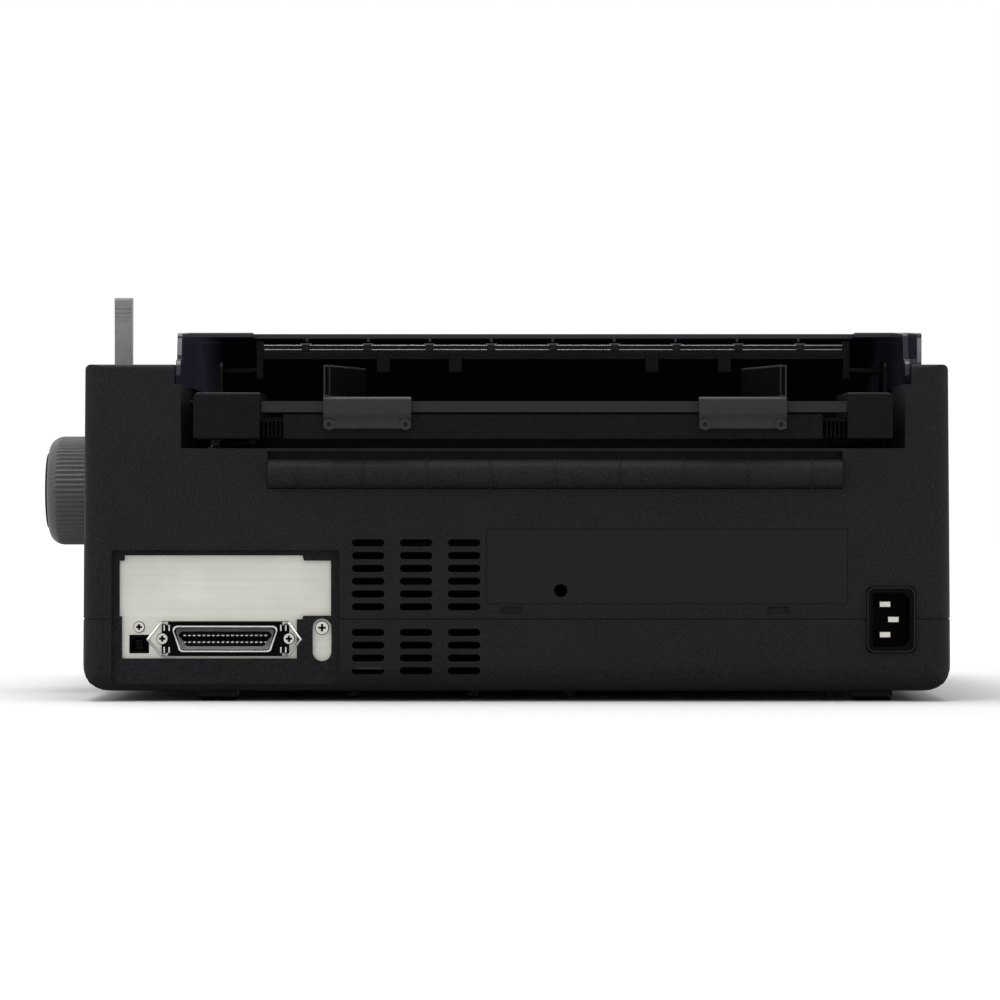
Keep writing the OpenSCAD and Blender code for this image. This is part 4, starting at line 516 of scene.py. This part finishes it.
def prism(bm, outline, y0, y1):
    """Adds a block with this outline in X and Z, in mm from the middle of the case, between two depths."""
    block(bm, [in_frame(x, y1, z) for x, z in outline], [in_frame(x, y0, z) for x, z in outline])


def loft(bm, rings):
    """Adds a closed tube through outlines in X and Z with the same number of points, each at its depth."""
    rows = [[bm.verts.new(in_frame(x, y, z)) for x, z in line] for line, y in rings]
    walls(bm, rows + rows[:1])


def sleeve(bm, outer, inner, y0, y1):
    """Adds a tube whose wall lies between two outlines."""
    loft(bm, ((outer, y0), (outer, y1), (inner, y1), (inner, y0)))


def holed_plate(bm, outline, holes, y0, y1):
    """Adds a plate with this outline and these holes, between two depths."""
    edges = []
    for line in [outline] + holes:
        points = [bm.verts.new(in_frame(x, y1, z)) for x, z in line]
        edges += [bm.edges.new((points[i], points[(i + 1) % len(points)])) for i in range(len(points))]
    faces = bmesh.ops.triangle_fill(bm, use_beauty=True, edges=edges, normal=(0, 1, 0))["geom"]
    grown = bmesh.ops.extrude_face_region(bm, geom=[f for f in faces if isinstance(f, bmesh.types.BMFace)])
    moved = [v for v in grown["geom"] if isinstance(v, bmesh.types.BMVert)]
    bmesh.ops.translate(bm, verts=moved, vec=(0, (y0 - y1) * MM, 0))


# ---------------------------------------------------------------- outlines in X and Z

def corners(x0, x1, z0, z1):
    """The four corners of a rectangle."""
    return [(x0, z0), (x1, z0), (x1, z1), (x0, z1)]


def ring(cx, cz, r, steps=24):
    """Points of a circle."""
    turns = [math.tau * k / steps for k in range(steps)]
    return [(cx + r * math.cos(a), cz + r * math.sin(a)) for a in turns]


def four_arcs(centres, r, steps):
    """Points of four quarter arcs about these centres, from the upper right one round."""
    points = []
    for quarter, (cx, cz) in enumerate(centres):
        for k in range(steps + 1):
            a = math.radians(90 * quarter + 90 * k / steps)
            points.append((cx + r * math.cos(a), cz + r * math.sin(a)))
    return points


def rounded_rectangle(x0, x1, z0, z1, r, steps=5):
    """Points of a rectangle with round corners."""
    centres = (x1 - r, z1 - r), (x0 + r, z1 - r), (x0 + r, z0 + r), (x1 - r, z0 + r)
    return four_arcs(centres, r, steps)


def d_outline(inset):
    """The ribbon connector's shell: a flat D with round corners, narrower below."""
    r = D_CORNER_R
    top, bottom, half = (size - inset - r for size in (D_HALF_TOP, D_HALF_BOTTOM, D_HALF_HEIGHT))
    centres = (top, half), (-top, half), (-bottom, -half), (bottom, -half)
    return four_arcs([(CONNECTOR_X + x, CONNECTOR_Z + z) for x, z in centres], r, 4)


# ---------------------------------------------------------------- finish of the CAD nodes

def dress(names, mat):
    """Gives nodes a material, and smooth light over their rounds up to their sharp edges."""
    for name in names.split():
        obj = NODES[name]
        obj.data.materials.clear()
        obj.data.materials.append(mat)
        for face in obj.data.polygons:
            face.use_smooth = True
        weld = obj.modifiers.new("join_faces", "WELD")
        weld.merge_threshold = JOIN_WITHIN
        crisp = obj.modifiers.new("crisp_edges", "EDGE_SPLIT")
        crisp.split_angle = CRISP_FROM


def dress_nodes():
    """Dresses every node, and returns the materials that pieces of the scene share with them."""
    textured, slate, satin, acetal = black_abs(), dark_grey_abs(), satin_black(), white_acetal()
    steel, coated, screws, can = bright_steel(), blackened_steel(), nickel_brass(), motor_steel()
    dress("upper_case lower_case front_cover control_panel rear_paper_lip", textured)
    dress("sheet_guide tension_frame", shaded_abs())
    dress("printer_cover", smoked_cover())
    dress("platen_knob", mid_grey_abs())
    dress("knob_cap", cap_abs())
    dress("release_lever", lever_grey_abs())
    dress("edge_guide_knob_side edge_guide_far_side button_1 button_2 button_3 ribbon_knob", slate)
    dress("ribbon_connector usb_socket power_inlet power_switch", jet_polyester())
    dress("interface_plate", zinc_plate())
    dress("interface_screws inlet_pins", screws)
    dress("bail_knob_side bail_far_side", steel)
    dress("side_frame_knob_side side_frame_far_side engine_base", coated)
    dress("carriage_rail tear_off_edge tractor_rod", coated)
    dress("paper_chute carriage ribbon_cartridge tractor_knob_side tractor_far_side", satin)
    dress("tractor_door_knob_side tractor_door_far_side head_gap_lever drive_pulley idler_pulley", satin)
    dress("platen tension_rollers", platen_rubber())
    dress("platen_shaft tractor_shaft carriage_shaft", ground_shaft())
    dress("platen_gear feed_gear_front feed_gear_rear motor_pinion platen_bushes", acetal)
    dress("sprocket_knob_side sprocket_far_side", acetal)
    dress("feed_motor carriage_motor", can)
    dress("print_head", black_casting())
    dress("circuit_boards", green_laminate())
    dress("feet toothed_belt", soft_rubber())
    return {"textured": textured, "satin": satin, "steel": steel, "screws": screws, "can": can}


# ---------------------------------------------------------------- pieces of the interface panel

def connector_shell(mat):
    """The drawn nickel shell round the ribbon connector's mouth."""
    back_y, front_y = RECESS_FLOOR_Y - 0.6, RECESS_FLOOR_Y + 2.25
    bm = bmesh.new()
    sleeve(bm, d_outline(-0.15), d_outline(0.55), back_y, front_y)
    piece("connector_shell", bm, mat, "case", 0.15)


def connector_throat(mat):
    """The sloping throat inside the shell that leads the plug to its slot."""
    mouth, slot = d_outline(0.5), d_outline(2.5)
    back_y, slot_y, mouth_y = (RECESS_FLOOR_Y + depth for depth in (0.05, 0.25, 1.75))
    bm = bmesh.new()
    loft(bm, ((mouth, mouth_y), (slot, slot_y), (slot, back_y), (mouth, back_y)))
    piece("connector_throat", bm, mat, "case", 0.1, 1)


def connector_contacts(mat):
    """Two rows of contacts, which lie on both faces of the connector's tongue."""
    half_w, inner_z, outer_z = 0.6, 1.22, 2.3
    back_y, front_y = RECESS_FLOOR_Y - 7.5, RECESS_FLOOR_Y + 0.05
    bm = bmesh.new()
    for i in range(CONTACT_COUNT):
        x = CONNECTOR_X + (i - (CONTACT_COUNT - 1) / 2) * CONTACT_PITCH
        for z0, z1 in ((-outer_z, -inner_z), (inner_z, outer_z)):
            outline = corners(x - half_w, x + half_w, CONNECTOR_Z + z0, CONNECTOR_Z + z1)
            prism(bm, outline, back_y, front_y)
    piece("connector_contacts", bm, mat, "case", 0.12, 1)


def connector_clips(mat):
    """Four nickel clips, each folded over a post so that the bail's wire can turn in it."""
    inner_x, outer_x, half_h = 0.72, 1.48, 1.38
    back_y, front_y = RECESS_FLOOR_Y - 0.4, RECESS_FLOOR_Y + 2.08
    bm = bmesh.new()
    for x in (CONNECTOR_X - POST_X, CONNECTOR_X + POST_X):
        for z in (CONNECTOR_Z - POST_Z, CONNECTOR_Z + POST_Z):
            for x0, x1 in ((x - outer_x, x - inner_x), (x + inner_x, x + outer_x)):
                prism(bm, corners(x0, x1, z - half_h, z + half_h), back_y, front_y)
    piece("connector_clips", bm, mat, "case", 0.2)


def usb_contacts(mat):
    """The square socket's tongue carries two contacts on each face."""
    half_w, thick = 0.3, 0.3
    back_y, front_y = PLATE_Y - 8, PLATE_Y - 1.6
    bm = bmesh.new()
    for x in (USB_X - 0.75, USB_X + 0.75):
        for z in (USB_Z - 1.95, USB_Z + 1.25):
            prism(bm, corners(x - half_w, x + half_w, z, z + thick), back_y, front_y)
    piece("usb_contacts", bm, mat, "case", 0.06, 1)


def screw_painted_shade(mat):
    """Painted shade: black floors in the interface screws' cross recesses and a black ring round each head's
    edge.
    """
    arm, half_slot, gap, line_w = 0.58, 0.46, 0.01, 0.3
    bm = bmesh.new()
    for x, z, r in SCREW_PLACES:
        sleeve(bm, ring(x, z, r + line_w), ring(x, z, r + gap), PLATE_Y - 0.02, PLATE_Y + 0.08)
        for half_w, half_h in ((r * arm, half_slot), (half_slot, r * arm)):
            outline = corners(x - half_w, x + half_w, z - half_h, z + half_h)
            prism(bm, outline, PLATE_Y + 0.62, PLATE_Y + 0.78)
    piece("screw_painted_shade", bm, mat, "case")


# ---------------------------------------------------------------- pieces of the case

def inlet_rim_highlight(mat):
    """The raised bead round the mains inlet's flange, lighter than the flange as its painted highlight."""
    half_w, half_h, r, bead_w = 10.8, 14.65, 3.4, 0.5
    back_y, face_y = REAR_Y + 1.3, REAR_Y + 1.55

    def outline(inset):
        across, up = half_w - inset, half_h - inset
        return rounded_rectangle(INLET_X - across, INLET_X + across, INLET_Z - up, INLET_Z + up, r - inset)

    bm = bmesh.new()
    sleeve(bm, outline(0), outline(bead_w), back_y, face_y)
    piece("inlet_rim_highlight", bm, mat, "case", 0.08, 1)


def label_panel(mat):
    """The smooth, slightly sunk field on the rear face, left bare, with the case's small hole in it."""
    back_y, face_y = REAR_Y - 0.5, REAR_Y - 0.3
    bm = bmesh.new()
    holed_plate(bm, rounded_rectangle(*LABEL_FIELD, 0.5), [ring(*LABEL_HOLE)], back_y, face_y)
    piece("label_panel", bm, mat, "case")


def half_round(bm, x0, x1, r, steps=28):
    """Adds a half round bar along X that stands off the rear face, closed behind."""
    middle_y = REAR_Y + 0.1
    line = [(LIP_BACK_Y, -r)]
    for k in range(steps + 1):
        a = math.pi * (k / steps - 0.5)
        line.append((middle_y + r * math.cos(a), r * math.sin(a)))
    line.append((LIP_BACK_Y, r))
    block(bm, *([in_frame(x, y, LIP_Z + z) for y, z in line] for x in (x0, x1)))


def paper_lip(mat):
    """The round lip that fanfold paper slides over, with the low ribs that stand for its nine guides."""
    rib_half_w, rib_h = 0.5, 0.45
    bm = bmesh.new()
    half_round(bm, LIP_MIDDLE_X - LIP_LENGTH / 2, LIP_MIDDLE_X + LIP_LENGTH / 2, LIP_R)
    for x in RIB_X:
        half_round(bm, x - rib_half_w, x + rib_half_w, LIP_R + rib_h)
    lip = piece("paper_lip", bm, mat, "case", 0.2)
    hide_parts("rear_paper_lip")


def seam_baffle(mat):
    """The stepped frame inside the front wall that closes the front cover's seam to light and dust."""
    x0, x1, z0, z1 = FLAP
    gap, lap, far_lap, under_lap = 0.2, 3.0, 3.6, 6.0
    side_z0 = z0 + 9
    back_y = -167.0
    bm = bmesh.new()
    for outline, face_y in (
            ((x0 - lap, x1 + lap, z1 + gap, z1 + far_lap), WALL_Y),
            ((x0 - lap, x1 + lap, z1 - lap, z1 + gap), FLAP_LIP_Y),
            ((x0 - lap, x0 - gap, side_z0, z1 - lap), WALL_Y),
            ((x0 - gap, x0 + lap, side_z0, z1 - lap), FLAP_LIP_Y),
            ((x1 + gap, x1 + lap, side_z0, z1 - lap), WALL_Y),
            ((x1 - lap, x1 + gap, side_z0, z1 - lap), FLAP_LIP_Y),
            ((x0 + 0.4, x1 - 0.4, z0 - under_lap, z0 - 0.3), WALL_Y),
            ((x0 - 0.6, x1 + 0.6, z0 - 0.3, z0 + 2), FLAP_LIP_Y)):
        prism(bm, corners(*outline), face_y, back_y)
    piece("seam_baffle", bm, mat, "case")


def tension_bar_highlights(mat):
    """Two thin strips of painted highlight where the light catches the tension unit's bar."""
    line_h, back_y, front_y = 0.38, TENSION_Y - 0.1, TENSION_Y + 0.3
    bm = bmesh.new()
    for z in TENSION_LINES_Z:
        prism(bm, rounded_rectangle(*TENSION_SPAN, z, z + line_h, 0.12, 2), back_y, front_y)
    piece("tension_bar_highlights", bm, mat, "case", 0.08, 1)


def tension_sleeves(mat):
    """The dark sleeve that each roller of the tension unit turns in."""
    half_w, low_z, high_z = 1.9, 161.0, 164.1
    back_y, front_y = TENSION_Y - 0.1, TENSION_Y + 0.7
    bm = bmesh.new()
    for x in RIB_X:
        prism(bm, rounded_rectangle(x - half_w, x + half_w, low_z, high_z, 0.5), back_y, front_y)
    piece("tension_sleeves", bm, mat, "case", 0.2)


def panel_lamps(mat):
    """Small lamp lenses above the buttons of the control panel."""
    half_w, half_d, foot_h, top_h = 2.6, 1.0, 1.2, 2.1
    bm = bmesh.new()
    for x in LAMP_X:
        outline = rounded_rectangle(x - half_w, x + half_w, LAMP_Y - half_d, LAMP_Y + half_d, 0.9, 4)
        block(bm, *([on_deck(px, py, h) for px, py in outline] for h in (foot_h, top_h)))
    piece("panel_lamps", bm, mat, "case", 0.25, 2)


# ---------------------------------------------------------------- pieces of the guide and the cover

def rail_face(mat):
    """The worn face of the rail that the edge guides slide on."""
    half_thick = 0.05
    bm = bmesh.new()
    prism(bm, rounded_rectangle(*RAIL_FIELD, 0.3, 2), RAIL_FACE_Y - half_thick, RAIL_FACE_Y + half_thick)
    piece("rail_face", bm, mat, "guide")


def fin_painted_shade(side, mat):
    """Painted shade: black sheets over an edge guide's fin, on its inner face and rear end, inside a thin
    rim.
    """
    name = "knob" if side > 0 else "far"
    low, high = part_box("edge_guide_" + name + "_side")
    outer = (high if side > 0 else low)[0] / MM - CASE_TO_FRAME[0]
    z0, z1 = 138.4, 151.2
    rear_y, front_y = 173.6, 116.6
    rear_in, front_in = 3.02, 17.4

    def inner_face(off):
        rear_x, front_x = outer - side * (rear_in + off), outer - side * (front_in + off)
        return [in_frame(*place) for place in (
            (rear_x, rear_y, z0), (front_x, front_y, z0), (front_x, front_y, z1), (rear_x, rear_y, z1))]

    bm = bmesh.new()
    x0, x1 = sorted((outer - side * 0.75, outer - side * 2.38))
    prism(bm, corners(x0, x1, z0, z1), 175.9, 176.06)
    block(bm, inner_face(0.02), inner_face(0.1))
    piece("fin_painted_shade_" + name, bm, mat, "edge_guide_" + name)


def cover_seal(mat):
    """The foam strip under the cover's front edge, which closes the seam to the deck against noise."""
    bm = bmesh.new()
    prism(bm, rounded_rectangle(*SEAL_FIELD, 0.3, 2), *SEAL_DEPTHS)
    piece("cover_seal", bm, mat, "cover")


def cover_rim_highlights(mat):
    """Thin strips of painted highlight on the rear edges of the cover's side walls."""
    half_thick = 0.1
    bm = bmesh.new()
    for x0, x1, line in COVER_EDGES:
        block(bm, *([in_frame(px, py, z) for px, py in (
            (x0, y - half_thick), (x0, y + half_thick), (x1, y + half_thick), (x1, y - half_thick))]
            for y, z in line))
    piece("cover_rim_highlights", bm, mat, "cover")


def main():
    make_camera()
    make_studio()
    mats = dress_nodes()
    worn_and_highlight_grey, painted_shade = rail_grey_abs(), painted_shade_black()
    connector_shell(mats["steel"])
    connector_throat(throat_metal())
    connector_contacts(mats["screws"])
    connector_clips(mats["steel"])
    usb_contacts(gilt_contact())
    label_panel(smooth_black_abs())
    screw_painted_shade(painted_shade)
    tension_bar_highlights(mats["can"])
    tension_sleeves(mats["satin"])
    inlet_rim_highlight(worn_and_highlight_grey)
    seam_baffle(mats["satin"])
    paper_lip(mats["textured"])
    cover_seal(open_foam())
    cover_rim_highlights(edge_painted_highlight())
    rail_face(worn_and_highlight_grey)
    fin_painted_shade(1, painted_shade)
    fin_painted_shade(-1, painted_shade)
    panel_lamps(lens_green())


main()
